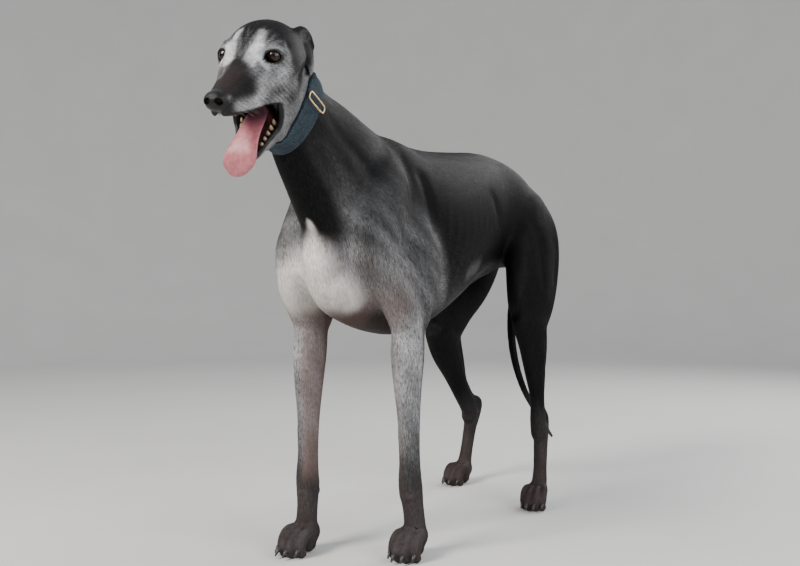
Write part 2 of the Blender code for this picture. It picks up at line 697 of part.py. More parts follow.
def islands(obj):
    """The loose parts of an object as objects of their own, the largest first."""
    mesh = obj.data
    owner = np.arange(len(mesh.vertices))
    edges = np.array([e.vertices[:] for e in mesh.edges])
    while True:
        low = np.minimum(owner[edges[:, 0]], owner[edges[:, 1]])
        new = owner.copy()
        np.minimum.at(new, edges[:, 0], low)
        np.minimum.at(new, edges[:, 1], low)
        new = new[new]
        if (new == owner).all():
            break
        owner = new
    points = coordinates(mesh)
    out = []
    for label in np.unique(owner):
        keep = np.flatnonzero(owner == label)
        renumber = {int(v): k for k, v in enumerate(keep)}
        faces = [
            tuple(renumber[v] for v in p.vertices) for p in mesh.polygons if p.vertices[0] in renumber
        ]
        out.append((points[keep], faces))
    bpy.data.objects.remove(obj, do_unlink=True)
    out.sort(key=lambda piece: -len(piece[0]))
    return [mesh_object("part", [piece]) for piece in out if len(piece[0]) > 12]


def middle_of(obj):
    """The middle of an object's points, measured from midway between the forefeet."""
    return Vector(coordinates(obj.data).mean(0)) - place(0, 0, 0)


def coordinates(mesh):
    """The places of a mesh's vertices."""
    points = np.empty(len(mesh.vertices) * 3)
    mesh.vertices.foreach_get("co", points)
    return points.reshape(-1, 3)


def relax(obj, rounds, share):
    """Draws each vertex towards the mean of its neighbours, as much as share(points) says."""
    mesh = obj.data
    points = coordinates(mesh)
    edges = np.empty(len(mesh.edges) * 2, np.int64)
    mesh.edges.foreach_get("vertices", edges)
    a, b = edges.reshape(-1, 2).T
    count = np.bincount(np.concatenate([a, b]), minlength=len(points))[:, None]
    weight = share(points)[:, None]
    for _ in range(rounds):
        total = np.zeros_like(points)
        for k in range(3):
            total[:, k] = np.bincount(
                a, points[b, k], len(points),
            ) + np.bincount(b, points[a, k], len(points))
        points += 0.5 * weight * (total / count - points)
    mesh.vertices.foreach_set("co", points.ravel())
    mesh.update()


def soft_share(points):
    """How far the body is softened: full on the trunk, little on the lower legs and tail."""
    low = np.clip((points[:, 2] - 0.30) / 0.16, 0, 1)
    rear = np.clip((points[:, 1] + ORIGIN_Y - 0.655) / 0.015, 0, 1)
    return (0.06 + 0.94 * low * low * (3 - 2 * low)) * (1 - 0.9 * rear)


def calm_share(points):
    """How far the head is softened: full on the cheeks and neck, little on the face."""
    frame = np.array(head_matrix().inverted())
    local = points @ frame[:3, :3].T + frame[:3, 3]
    back = np.clip((local[:, 1] - 0.012) / 0.020, 0, 1)
    return 0.22 + 0.78 * back


def body_skin(voxel, rounds):
    """The whole dog but its head, as one mesh."""
    shapes = trunk()
    for side in (1, -1):
        shapes += foreleg(side) + hindleg(side) + paw(side, "fore") + paw(side, "hind")
    obj = fused("body", shapes, voxel)
    relax(obj, rounds, soft_share)
    return obj


def head_skin(voxel, rounds, more=()):
    """The head and open jaw with the top of the neck and any more shapes of the head's frame, as one mesh."""
    shapes = [
        moved(s, head_matrix()) for s in (*cranium(), *more)
    ] + [moved(s, jaw_matrix()) for s in mandible()]
    obj = fused("head", shapes + shifted([limb_loft(NECK[2:], size=28)]), voxel)
    relax(obj, rounds, calm_share)
    return obj


def part_body():
    """The body's nodes, from the whole skin thinned, flattened under the pads and cut."""
    obj = thinned(body_skin(0.0042, 22), 0.027)
    for side in (1, -1):
        for kind in ("fore", "hind"):
            carved(obj, mesh_object("claws", claws(side, kind)), "UNION")
    cuts = [box((-0.4, -0.5, -0.05), (0.4, 0.9, 0.0))]
    cuts.append(slab(*NECK_CUT, 0.12))
    cuts.append(slab((0.0, -0.055, 0.665), (0.0, -0.80, 0.60), 0.17))
    cuts.append(slab((-0.013, 0.683, 0.500), (-0.15, 0.0, -0.99), 0.024))
    for side in (1, -1):
        x, y = ELBOW[side][:2]
        cuts.append(level_cut((x, y + 0.01), 0.363, 0.052, 0.075))
        cuts.append(level_cut((x, y + 0.01), 0.072, 0.052, 0.075))
        cuts.append(level_cut((0.102 * side, 0.490), 0.448, 0.100, 0.166))
        cuts.append(level_cut((HEEL[side][0], HEEL[side][1] - 0.032), 0.205, 0.045, 0.095))
        cuts.append(level_cut(HIND_PAW[side], 0.070, 0.045, 0.080))
    carved(obj, mesh_object("cuts", [cuts[0]]))
    carved(obj, mesh_object("cuts", cuts[1:]))
    nodes = {}
    for piece in islands(obj):
        x, y, z = middle_of(piece)
        side = "left" if x > 0 else "right"
        if y < -0.19 and z > 0.7:
            bpy.data.objects.remove(piece, do_unlink=True)
        elif z < 0.060:
            nodes[("forepaw_" if y < 0.2 else "hindpaw_") + side] = piece
        elif y > 0.65 and abs(x) < 0.06:
            nodes["tail"] = piece
        elif z < 0.22 and y > 0.3:
            nodes["hock_" + side] = piece
        elif z < 0.36 and y < 0.2:
            nodes["foreleg_" + side] = piece
        elif y > 0.3 and z < 0.40:
            nodes["hindleg_" + side] = piece
        elif y < -0.05:
            nodes["neck"] = piece
        else:
            nodes["torso"] = piece
    return nodes


def teeth(rows, reach, radius, size=6):
    """A pair of teeth at each (x, y, z)."""
    return [tooth(x * s, y, z, radius, reach, size) for s in (1, -1) for x, y, z in rows]


def part_head():
    """The head, lower jaw, eyes, ears and tongue."""
    obj = thinned(head_skin(0.0020, 16), 0.018)
    upper = teeth([(0.0105, -0.0780, -0.058)], -0.0115, 0.0026)
    upper += teeth([(0.0175, -0.062, -0.060), (0.0205, -0.042, -0.060)], -0.008, 0.0022)
    lower = teeth(
        [(0.0185, -0.038, -0.0725), (0.0215, -0.022, -0.0715), (0.0240, -0.006, -0.0695)], 0.0125, 0.0028,
    )
    carved(obj, mesh_object("upper_teeth", [moved(t, head_matrix()) for t in upper]), "UNION")
    carved(obj, mesh_object("lower_teeth", [moved(t, jaw_matrix()) for t in lower]), "UNION")
    nodes = {}
    for s in (1, -1):
        at = head_matrix() @ eye_matrix(s)
        carved(obj, mesh_object("socket", [moved(blob((0, 0, 0), (EYE_RADIUS + GAP,) * 3, size=20), at)]))
        carved(obj, mesh_object("opening", [moved(eye_opening(), at)]))
        nostril = blob(
            (0.0080 * s, -0.1125, -0.0405), (0.0048, 0.0060, 0.0038), turn=(0, 30 * s, 0), size=10,
        )
        carved(obj, mesh_object("nostril", [moved(nostril, head_matrix())]))
        nodes["eye_left" if s > 0 else "eye_right"] = mesh_object(
            "eye", [moved(blob((0, 0, 0), (EYE_RADIUS,) * 3), at)],
        )
    carved(obj, mesh_object("cut", [slab(*NECK_CUT, 0.12)]))
    carved(obj, mesh_object("cut", [slab((0, 0.0450, -0.0965), (0, 0.650, 0.760), 0.060, head_matrix())]))
    pieces = islands(obj)
    nodes["head"] = pieces[0]
    nodes["lower_jaw"] = min(pieces[1:], key=lambda piece: middle_of(piece)[1])
    for piece in pieces[1:]:
        if piece is not nodes["lower_jaw"]:
            bpy.data.objects.remove(piece, do_unlink=True)
    lap = mesh_object("tongue", [moved(tongue(), jaw_matrix())])
    carved(lap, grown(nodes["lower_jaw"], GAP))
    carved(lap, grown(nodes["head"], GAP))
    nodes["tongue"] = islands(lap)[0]
    for s in (1, -1):
        flap = fused("ear", [moved(shape, head_matrix()) for shape in ear(s)], 0.0012)
        thinned(flap, 0.06)
        carved(flap, mesh_object("cup", [moved(ear_cup(s), head_matrix())]))
        carved(flap, grown(nodes["head"], GAP))
        nodes["ear_left" if s > 0 else "ear_right"] = islands(flap)[0]
    return nodes


def collar(nodes):
    """The collar, wrapped round the neck where the head and neck meet, and its ring."""
    axis = Vector(COLLAR_AXIS).normalized()
    centre = place(*COLLAR_AT)
    across = axis.cross(Vector((0, 0, 1))).normalized()
    up = across.cross(axis)
    trees = [
        BVHTree.FromPolygons([v.co for v in o.data.vertices], [p.vertices for p in o.data.polygons])
        for o in (nodes["head"], nodes["neck"], nodes["lower_jaw"])
    ]
    steps = 48
    radii = np.zeros((2, steps))
    rays = [
        across * math.cos(k * 2 * math.pi / steps) + up * math.sin(k * 2 * math.pi / steps)
        for k in range(steps)
    ]
    for edge in (0, 1):
        for k, ray in enumerate(rays):
            for shift in np.linspace(edge - 1, edge, 7) * COLLAR_WIDTH / 2:
                start = centre + axis * shift
                hits = [tree.ray_cast(start + ray * 0.16, -ray, 0.16)[0] for tree in trees]
                reach = max([(hit - start).length for hit in hits if hit] + [0])
                radii[edge, k] = max(radii[edge, k], reach)
        radii[edge] = np.maximum(
            radii[edge], np.maximum(np.roll(radii[edge], 1), np.roll(radii[edge], -1)),
        ) + COLLAR_LIFT
        for _ in range(3):
            radii[edge] = np.maximum(
                radii[edge], (np.roll(radii[edge], 1) + np.roll(radii[edge], -1)) / 2,
            )
    rings = []
    half, thick = COLLAR_WIDTH / 2, COLLAR_THICK
    section = [
        (-half, 0.0), (-half, thick * 0.7), (-half + 0.0015, thick), (half - 0.0015, thick),
        (half, thick * 0.7), (half, 0.0),
    ]
    for k, ray in enumerate(rays):
        mix = [0.5 + a / COLLAR_WIDTH for a, b in section]
        rings.append(
            [
                centre + axis * a + ray * (radii[0, k] * (1 - m) + radii[1, k] * m + b)
                for (a, b), m in zip(section, mix)
            ]
        )
    count = len(section)
    points = np.array(rings).reshape(-1, 3)
    faces = []
    for k in range(steps):
        j = (k + 1) % steps
        for m in range(count):
            n = (m + 1) % count
            faces.append((k * count + m, k * count + n, j * count + n, j * count + m))
    nodes["collar"] = mesh_object("collar", [(points, faces)])
    corners = []
    for a in range(24):
        u, v = math.cos(a * math.pi / 12), math.sin(a * math.pi / 12)
        u, v = math.copysign(abs(u) ** 0.45, u), math.copysign(abs(v) ** 0.45, v)
        along, turn = RING_HALF * v, (RING_STEP + RING_REACH * u) * 2 * math.pi / steps
        share = 0.5 + along / COLLAR_WIDTH
        reach = np.interp(
            RING_STEP + RING_REACH * u, range(steps), radii[0] * (1 - share) + radii[1] * share,
        )
        ray = across * math.cos(turn) + up * math.sin(turn)
        corners.append(centre + axis * along + ray * (reach + thick + RING_WIRE + 0.0016))
    out = rays[RING_STEP]
    rings = []
    for a in range(24):
        run = (corners[(a + 1) % 24] - corners[a - 1]).normalized()
        one = run.cross(out).normalized()
        two = run.cross(one)
        rings.append(
            [
                corners[a] + (
                    one * math.cos(b * math.pi / 4) + two * math.sin(b * math.pi / 4)
                ) * RING_WIRE
                for b in range(8)
            ]
        )
    points = np.array(rings).reshape(-1, 3)
    faces = [
        (a * 8 + b, a * 8 + (b + 1) % 8, (a + 1) % 24 * 8 + (b + 1) % 8, (a + 1) % 24 * 8 + b)
        for a in range(24) for b in range(8)
    ]
    nodes["collar_ring"] = mesh_object("collar_ring", [(points, faces)])
    for name in ("ear_left", "ear_right"):
        nodes[name] = islands(carved(nodes[name], grown(nodes["collar"], GAP)))[0]


def coloured(obj, colour, roughness, metallic=0.0):
    """Gives the object a material of its own."""
    material = bpy.data.materials.new(obj.name + "_material")
    material.use_nodes = True
    shader = material.node_tree.nodes["Principled BSDF"]
    shader.inputs["Base Color"].default_value = (*colour, 1.0)
    shader.inputs["Roughness"].default_value = roughness
    shader.inputs["Metallic"].default_value = metallic
    obj.data.materials.clear()
    obj.data.materials.append(material)


def clear_scene():
    """Removes every object there is."""
    for obj in list(bpy.data.objects):
        bpy.data.objects.remove(obj, do_unlink=True)


def main():
    """Builds the nodes, gives each its material and puts them in their collection."""
    clear_scene()
    nodes = part_body() | part_head()
    collar(nodes)
    home = bpy.data.collections.new("greyhound")
    bpy.context.scene.collection.children.link(home)
    for name, obj in nodes.items():
        obj.name = name
        obj.data.name = name
        bpy.context.scene.collection.objects.unlink(obj)
        home.objects.link(obj)
        colour, roughness, metallic = next((v for k, v in COLOURS.items() if name.startswith(k)), FLESH)
        coloured(obj, colour, roughness, metallic)


main()
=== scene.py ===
import json
import math

import bmesh
import bpy
import numpy as np
from mathutils import Matrix, Vector
from mathutils.bvhtree import BVHTree

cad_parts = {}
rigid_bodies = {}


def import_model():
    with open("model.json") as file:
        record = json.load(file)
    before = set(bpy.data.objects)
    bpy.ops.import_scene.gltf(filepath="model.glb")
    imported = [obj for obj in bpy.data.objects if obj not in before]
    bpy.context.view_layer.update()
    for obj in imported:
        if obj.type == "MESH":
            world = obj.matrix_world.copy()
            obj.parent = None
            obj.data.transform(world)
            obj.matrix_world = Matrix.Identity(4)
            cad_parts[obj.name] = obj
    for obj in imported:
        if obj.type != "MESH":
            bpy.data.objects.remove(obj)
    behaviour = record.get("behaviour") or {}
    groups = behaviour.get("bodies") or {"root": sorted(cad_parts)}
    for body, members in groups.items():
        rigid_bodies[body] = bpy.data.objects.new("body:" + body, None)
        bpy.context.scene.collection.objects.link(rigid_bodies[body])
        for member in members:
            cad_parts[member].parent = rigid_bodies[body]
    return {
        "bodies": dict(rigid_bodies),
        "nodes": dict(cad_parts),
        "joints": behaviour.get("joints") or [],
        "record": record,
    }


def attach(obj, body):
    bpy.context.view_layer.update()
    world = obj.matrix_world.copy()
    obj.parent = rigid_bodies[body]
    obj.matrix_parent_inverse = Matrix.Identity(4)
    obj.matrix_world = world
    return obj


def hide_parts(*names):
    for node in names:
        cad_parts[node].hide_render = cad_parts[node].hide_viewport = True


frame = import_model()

# Where the origin lies, measured from the point on the floor midway between the forefeet.
ORIGIN_X = -0.0065
ORIGIN_Y = 0.145

# Driving sizes of the body.
WITHERS = 0.727
BRISKET = 0.371
CHEST_HALF_WIDTH = 0.098
LOIN_HALF_WIDTH = 0.068

# Trunk sections: (y, top, bottom, half width, egg), where an egg above 0 narrows the underside.
TRUNK = [
    (-0.118, 0.56, 0.47, 0.03, 0.0),
    (-0.085, 0.64, 0.415, 0.058, 0.0),
    (-0.03, 0.695, 0.392, 0.076, 0.05),
    (0.04, WITHERS + 0.001, BRISKET + 0.005, 0.088, 0.12),
    (0.12, WITHERS - 0.006, BRISKET, CHEST_HALF_WIDTH, 0.14),
    (0.2, WITHERS - 0.005, BRISKET + 0.018, CHEST_HALF_WIDTH + 0.003, 0.12),
    (0.3, WITHERS + 0.006, BRISKET + 0.06, 0.094, 0.08),
    (0.39, WITHERS + 0.018, BRISKET + 0.104, LOIN_HALF_WIDTH + 0.01, 0.05),
    (0.46, WITHERS + 0.022, BRISKET + 0.124, LOIN_HALF_WIDTH, 0.0),
    (0.53, WITHERS + 0.015, BRISKET + 0.132, 0.074, 0.05),
    (0.59, WITHERS - 0.006, BRISKET + 0.138, 0.076, 0.05),
    (0.645, WITHERS - 0.055, BRISKET + 0.16, 0.052, 0.05),
]

# Lofts along a line: (x, y, z, half width, half depth), x positive on the dog's left.
NECK = [
    (0.0, 0.045, 0.578, 0.07, 0.142),
    (0.002, -0.037, 0.62, 0.066, 0.127),
    (0.01, -0.11, 0.662, 0.056, 0.105),
    (0.02, -0.168, 0.692, 0.047, 0.084),
    (0.031, -0.211, 0.719, 0.042, 0.067),
    (0.045, -0.254, 0.744, 0.0395, 0.056),
]
THIGH = {
    1: [
        (0.045, 0.572, 0.665, 0.032, 0.062),
        (0.061, 0.578, 0.59, 0.05, 0.099),
        (0.071, 0.564, 0.52, 0.047, 0.11),
        (0.083, 0.528, 0.45, 0.038, 0.104),
        (0.088, 0.5, 0.392, 0.029, 0.082),
    ],
    -1: [
        (-0.045, 0.572, 0.665, 0.032, 0.062),
        (-0.058, 0.562, 0.59, 0.047, 0.096),
        (-0.068, 0.53, 0.52, 0.046, 0.106),
        (-0.084, 0.484, 0.45, 0.039, 0.1),
        (-0.097, 0.456, 0.385, 0.03, 0.084),
    ],
}
GASKIN = {
    1: [
        (0.09, 0.505, 0.4, 0.028, 0.074),
        (0.096, 0.512, 0.345, 0.0255, 0.054),
        (0.102, 0.512, 0.28, 0.0205, 0.036),
        (0.106, 0.512, 0.225, 0.015, 0.021),
        (0.107, 0.514, 0.178, 0.0175, 0.021),
        (0.108, 0.515, 0.145, 0.017, 0.02),
    ],
    -1: [
        (-0.098, 0.462, 0.392, 0.028, 0.076),
        (-0.108, 0.494, 0.338, 0.0265, 0.06),
        (-0.117, 0.548, 0.275, 0.0215, 0.04),
        (-0.123, 0.592, 0.222, 0.0165, 0.029),
        (-0.127, 0.638, 0.178, 0.0185, 0.027),
        (-0.129, 0.644, 0.15, 0.018, 0.024),
    ],
}
HEEL = {1: (0.107, 0.546, 0.182), -1: (-0.127, 0.684, 0.186)}
HOCK = {1: (0.108, 0.518, 0.15), -1: (-0.129, 0.646, 0.152)}
HIND_PAW = {1: (0.119, 0.478), -1: (-0.132, 0.604)}

SHOULDER_POINT = {1: (0.073, -0.074, 0.51), -1: (-0.078, -0.092, 0.506)}
ELBOW = {1: (0.083, 0.024, 0.382), -1: (-0.092, -0.018, 0.382)}
CARPUS = {1: (0.084, 0.036, 0.116), -1: (-0.087, -0.028, 0.116)}
FORE_PAW = {1: (0.087, 0.036), -1: (-0.087, -0.042)}
PAW_TURN = {"fore": 4.0, "hind": 9.0}

# The head's own frame: its origin is midway between the eyes, it faces -Y and its palate is level.
HEAD_AT = (0.067, -0.35, 0.765)
HEAD_TURN = 15.0
HEAD_NOD = 22.0
HEAD_TILT = 5.8
JAW_HINGE = (0.0, 0.042, -0.046)
JAW_OPEN = 34.0
EYE_AT = (0.0345, 0.0065, 0.0005)
EYE_RADIUS = 0.0122
EYE_OPENING = (0.0112, 0.008)
LID_THICK = 0.0026
SKULL = [
    (0.108, 0.029, -0.04, 0.034, 0.0),
    (0.085, 0.04, -0.058, 0.0475, 0.0),
    (0.052, 0.0445, -0.068, 0.054, 0.0),
    (0.022, 0.04, -0.066, 0.052, -0.05),
    (-0.004, 0.0265, -0.06, 0.0445, -0.1),
    (-0.028, 0.0055, -0.056, 0.0355, -0.1),
    (-0.055, -0.011, -0.054, 0.0265, -0.1),
    (-0.08, -0.022, -0.054, 0.0205, -0.1),
    (-0.098, -0.0285, -0.0535, 0.0165, -0.1),
]
JAW = [
    (0.052, -0.05, -0.102, 0.034, 0.15),
    (0.025, -0.066, -0.111, 0.034, 0.2),
    (0.002, -0.07, -0.109, 0.031, 0.22),
    (-0.018, -0.072, -0.0965, 0.0265, 0.22),
    (-0.036, -0.073, -0.089, 0.0215, 0.2),
    (-0.056, -0.073, -0.085, 0.016, 0.2),
    (-0.069, -0.072, -0.082, 0.0115, 0.15),
]
NOSE_AT = (0.0, -0.1, -0.0415)
NOSE_RADII = (0.0185, 0.0155, 0.0142)

# The lips in the head's and the jaw's frames, left side: (x, y, z, half thickness, half height).
UPPER_LIP = [
    (0.0055, -0.0985, -0.0555, 0.005, 0.007),
    (0.0135, -0.082, -0.0555, 0.0052, 0.0085),
    (0.0195, -0.05, -0.056, 0.0055, 0.0085),
    (0.027, -0.018, -0.054, 0.006, 0.0085),
    (0.034, 0.01, -0.055, 0.0065, 0.009),
    (0.037, 0.03, -0.052, 0.007, 0.01),
]
LOWER_LIP = [
    (0.0045, -0.0715, -0.074, 0.0045, 0.0055),
    (0.0115, -0.061, -0.0785, 0.0042, 0.0055),
    (0.0155, -0.052, -0.0785, 0.0042, 0.006),
    (0.0205, -0.042, -0.0765, 0.0042, 0.0066),
    (0.0265, -0.026, -0.0765, 0.0045, 0.0072),
    (0.0305, -0.013, -0.075, 0.0048, 0.0076),
    (0.034, -0.005, -0.0695, 0.005, 0.0076),
    (0.0355, 0.0025, -0.062, 0.0052, 0.0072),
    (0.036, 0.007, -0.052, 0.0052, 0.0065),
    (0.0355, 0.013, -0.042, 0.0055, 0.0065),
]
COLLAR_AT = (0.0375, -0.2265, 0.7365)
COLLAR_AXIS = (0.134, -0.933, 0.359)
COLLAR_WIDTH = 0.046
COLLAR_THICK = 0.0035
COLLAR_LIFT = 0.0027

TAIL_PATH = [
    (0.0, 0.6, 0.655, 0.03),
    (0.0, 0.65, 0.622, 0.022),
    (-0.004, 0.682, 0.55, 0.0165),
    (-0.02, 0.682, 0.47, 0.0135),
    (-0.03, 0.668, 0.39, 0.0115),
    (-0.022, 0.668, 0.3, 0.0098),
    (-0.004, 0.686, 0.22, 0.0085),
    (0.024, 0.712, 0.155, 0.007),
    (0.048, 0.73, 0.108, 0.0045),
]

TOES = ((-0.0215, 0.031), (-0.008, 0.045), (0.008, 0.045), (0.0215, 0.031))

# A folded ear on the left, along its length: (x, y, z, half thickness, half width).
EAR = [
    (0.03, 0.074, 0.002, 0.006, 0.012),
    (0.0345, 0.085, 0.011, 0.0058, 0.0165),
    (0.0395, 0.095, 0.013, 0.0054, 0.0175),
    (0.0445, 0.103, 0.005, 0.005, 0.017),
    (0.048, 0.106, -0.01, 0.0045, 0.016),
    (0.0505, 0.104, -0.026, 0.0038, 0.0125),
    (0.0515, 0.101, -0.04, 0.0028, 0.006),
]
EAR_RIM = [
    (0.037, 0.081, 0.024, 0.0028),
    (0.041, 0.092, 0.029, 0.0031),
    (0.046, 0.104, 0.025, 0.0031),
    (0.051, 0.113, 0.012, 0.0028),
    (0.0535, 0.116, -0.004, 0.0022),
]
EAR_SHIFT = {1: (-0.002, -0.003, 0.002), -1: (0.003, 0.004, 0.005)}

# The tongue in the jaw's frame: (x, y, z, half width, half thickness).
TONGUE = [
    (0.0, 0.016, -0.061, 0.013, 0.0045),
    (0.0, -0.01, -0.058, 0.0165, 0.0048),
    (0.0, -0.036, -0.057, 0.0175, 0.0048),
    (-0.001, -0.056, -0.059, 0.0205, 0.0046),
    (-0.003, -0.071, -0.064, 0.025, 0.0042),
    (-0.006, -0.0805, -0.073, 0.025, 0.0038),
    (-0.009, -0.087, -0.083, 0.0165, 0.0032),
    (-0.011, -0.09, -0.089, 0.007, 0.0022),
]
RING_STEP = 26
RING_HALF = 0.0235
RING_REACH = 0.95
RING_WIRE = 0.0013

# Sizes of the looks.
BODY_VOXEL = 0.0044
HEAD_VOXEL = 0.0018
COAT_DEPTH = 0.0009
SEAM_LAP = 0.006
HAIRS = 300000
RIBS = 8
SKIN_SHARE_KEPT = 0.68

# Creases and ridges on the left: (line, width, height), measured from midway between the forefeet.
MUSCLES = [
    (
        [(0.078, 0.075, 0.65), (0.097, 0.088, 0.58), (0.105, 0.088, 0.5), (0.098, 0.075, 0.425)],
        0.013, -0.0045,
    ),
    ([(0.052, 0.01, 0.69), (0.082, -0.01, 0.62), (0.1, -0.045, 0.56), (0.095, -0.078, 0.52)], 0.01, 0.0016),
    ([(0.062, 0.04, 0.68), (0.095, 0.03, 0.59), (0.108, 0.01, 0.52)], 0.012, -0.0024),
    ([(0.06, -0.06, 0.655), (0.078, -0.085, 0.59), (0.085, -0.105, 0.53)], 0.012, -0.004),
    ([(0.07, -0.115, 0.52), (0.085, -0.085, 0.455), (0.098, -0.04, 0.405)], 0.014, -0.0055),
    ([(0.112, -0.02, 0.5), (0.112, 0.0, 0.44), (0.108, 0.01, 0.4)], 0.009, -0.0018),
    ([(0.045, 0.12, 0.705), (0.052, 0.25, 0.712), (0.052, 0.38, 0.725), (0.05, 0.46, 0.735)], 0.016, -0.0022),
    ([(0.08, 0.36, 0.64), (0.088, 0.43, 0.56), (0.09, 0.45, 0.48)], 0.016, -0.004),
    ([(0.095, 0.5, 0.64), (0.112, 0.52, 0.56), (0.116, 0.515, 0.47)], 0.012, -0.0024),
    ([(0.075, 0.61, 0.64), (0.108, 0.6, 0.56), (0.112, 0.585, 0.48)], 0.011, -0.0026),
    ([(0.062, 0.455, 0.73), (0.07, 0.475, 0.715)], 0.014, 0.0035),
    ([(0.045, 0.63, 0.672), (0.052, 0.636, 0.655)], 0.01, 0.003),
    ([(0.04, -0.235, 0.69), (0.058, -0.15, 0.64), (0.066, -0.1, 0.59)], 0.01, -0.0026),
    ([(0.052, -0.2, 0.735), (0.06, -0.12, 0.68), (0.062, -0.06, 0.65)], 0.012, -0.0016),
]
MIDDLE_LINES = [
    ([(0.0, -0.15, 0.56), (0.0, -0.142, 0.5), (0.0, -0.115, 0.44), (0.0, -0.05, 0.395)], 0.012, -0.005),
    ([(0.0, 0.05, 0.728), (0.0, 0.2, 0.722), (0.0, 0.35, 0.742), (0.0, 0.48, 0.752)], 0.008, 0.0012),
]

# The same on the left of the face, in the head's frame, and of the lower jaw, in its own.
FACE_LINES = [
    ([(0.02, -0.014, 0.01), (0.03, -0.004, 0.0135), (0.041, 0.008, 0.011)], 0.0042, 0.0012),
    ([(0.0225, -0.01, 0.0045), (0.032, -0.0075, 0.0095), (0.0415, 0.002, 0.0065)], 0.0018, -0.001),
    ([(0.024, -0.014, -0.006), (0.033, -0.01, -0.0105), (0.0435, 0.002, -0.006)], 0.002, -0.001),
    ([(0.0215, -0.0165, -0.004), (0.019, -0.026, -0.01)], 0.002, -0.0009),
    ([(0.035, 0.004, -0.018), (0.046, 0.03, -0.02), (0.046, 0.06, -0.014)], 0.006, 0.001),
    ([(0.033, -0.01, -0.03), (0.043, 0.02, -0.034), (0.046, 0.05, -0.034)], 0.006, -0.0015),
    ([(0.026, -0.03, -0.022), (0.02, -0.065, -0.034)], 0.005, -0.0011),
    ([(0.036, 0.012, -0.046), (0.043, 0.026, -0.062), (0.04, 0.034, -0.085)], 0.0028, -0.0015),
    ([(0.041, 0.002, -0.04), (0.047, 0.022, -0.054), (0.046, 0.036, -0.078)], 0.003, -0.0009),
    ([(0.0, -0.03, 0.002), (0.0, 0.0, 0.026), (0.0, 0.03, 0.038)], 0.006, -0.0007),
    ([(0.0, 0.07, 0.037), (0.0, 0.105, 0.02)], 0.005, 0.0008),
    ([(0.0, -0.117, -0.043), (0.0, -0.113, -0.053), (0.0, -0.104, -0.062)], 0.0014, -0.0011),
    ([(0.0125, -0.111, -0.047), (0.0165, -0.102, -0.046), (0.0185, -0.093, -0.038)], 0.0015, -0.0011),
    ([(0.0, -0.086, -0.025), (0.012, -0.0865, -0.03), (0.0185, -0.0885, -0.039)], 0.0014, -0.0005),
    ([(0.043, 0.014, 0.004), (0.046, 0.03, 0.014)], 0.005, -0.001),
]
JAW_LINES = [([(0.01, -0.066, -0.077), (0.021, -0.034, -0.077), (0.03, 0.0, -0.075)], 0.002, -0.001)]

# The white blaze on the chest: (x, y, z, radius).
BLAZE = [
    (0.006, -0.143, 0.558, 0.006),
    (0.002, -0.143, 0.534, 0.015),
    (-0.004, -0.14, 0.505, 0.03),
    (-0.012, -0.132, 0.48, 0.046),
    (-0.06, -0.095, 0.46, 0.046),
    (-0.078, -0.06, 0.428, 0.042),
    (-0.045, -0.085, 0.445, 0.044),
    (0.018, -0.1, 0.442, 0.038),
    (0.046, -0.07, 0.424, 0.022),
]
NECK_STREAK = [(0.052, -0.12, 0.6), (0.07, -0.085, 0.545)]
THROAT_STRIPE = [(0.04, -0.25, 0.665), (0.033, -0.221, 0.638), (0.032, -0.168, 0.59), (0.022, -0.123, 0.531)]
# A line of paler hair down each thigh, a painted highlight along the muscle.
THIGH_HIGHLIGHT = [(0.1, 0.57, 0.6), (0.11, 0.575, 0.54), (0.118, 0.56, 0.455)]
EYE_STRIPE = [
    (0.0165, -0.056, -0.02), (0.0155, -0.03, -0.002), (0.02, -0.0137, 0.0147),
    (0.0155, 0.0144, 0.0282),
]

# Where the photo was taken from, for an image 800 pixels wide.
CAMERA_AT = (0.879, -1.236, 0.44)
CAMERA_TILT = 0.94
CAMERA_HEADING = 32.7
FOCAL_PIXELS = 880.0
IMAGE_WIDTH = 800

BAKE_MAP = "OFBake"
HAIR_PATCH = 0.003
HAIR_GAP = 0.001
HAIR_SINK = 0.00018
HAIR_FACES = np.array(((0, 2, 3), (2, 1, 3), (1, 0, 3), (0, 1, 2)))
HAIR_MAP = ((0, 0), (1, 0), (0.5, 0.5), (0.5, 1))
HAIR_LEANS = (0.35, -0.35, 0.0, 0.0)
SIDES = {1: "left", -1: "right"}
COAT_PARTS = ("head", "neck_and_shoulder", "trunk", "hindquarter", "foreleg", "hindleg")
JAW_MIDDLE = np.array(sorted((y, (top + low) / 2) for y, top, low, *_ in JAW)).T
EAR_CUP_AT = (0.0475, 0.096, 0.017)
CORNEA_RADIUS = 0.0078
CORNEA_LIFT = 0.001
COLLAR_BASE = 0.0006
COLLAR_BAND = 0.0034
COLLAR_GIRTH = 0.42
PAIRED_NODES = ("ear", "foreleg", "forepaw", "hindleg", "hock", "hindpaw")
FLESH_NODES = ["torso", "neck", "head", "lower_jaw", "tail"]
FLESH_NODES[4:4] = [part + "_" + side for part in PAIRED_NODES for side in SIDES.values()]
FLOOR_REACH = 4.6
CURVE = 2.4
WALL_TOP = 4.0
SKY_STRENGTH = 0.62
LIGHTS = [
    ("key_light", (-0.9, -3.0, 2.7), 1.3, 185.0, (1.0, 0.97, 0.92)),
    ("fill_light", (3.2, -0.6, 1.8), 2.2, 75.0, (0.92, 0.96, 1.0)),
    ("back_light", (0.8, 2.8, 2.4), 1.8, 70.0, (1.0, 1.0, 1.0)),
]


def place(x, y, z):
    """A point measured from midway between the forefeet, in the model's frame."""
    return Vector((x - ORIGIN_X, y - ORIGIN_Y, z))


def head_matrix():
    """The head's frame in the model's."""
    turn = Matrix.Rotation(math.radians(HEAD_TURN), 4, "Z")
    nod = Matrix.Rotation(math.radians(HEAD_NOD), 4, "X")
    tilt = Matrix.Rotation(math.radians(HEAD_TILT), 4, "Y")
    return Matrix.Translation(place(*HEAD_AT)) @ turn @ nod @ tilt


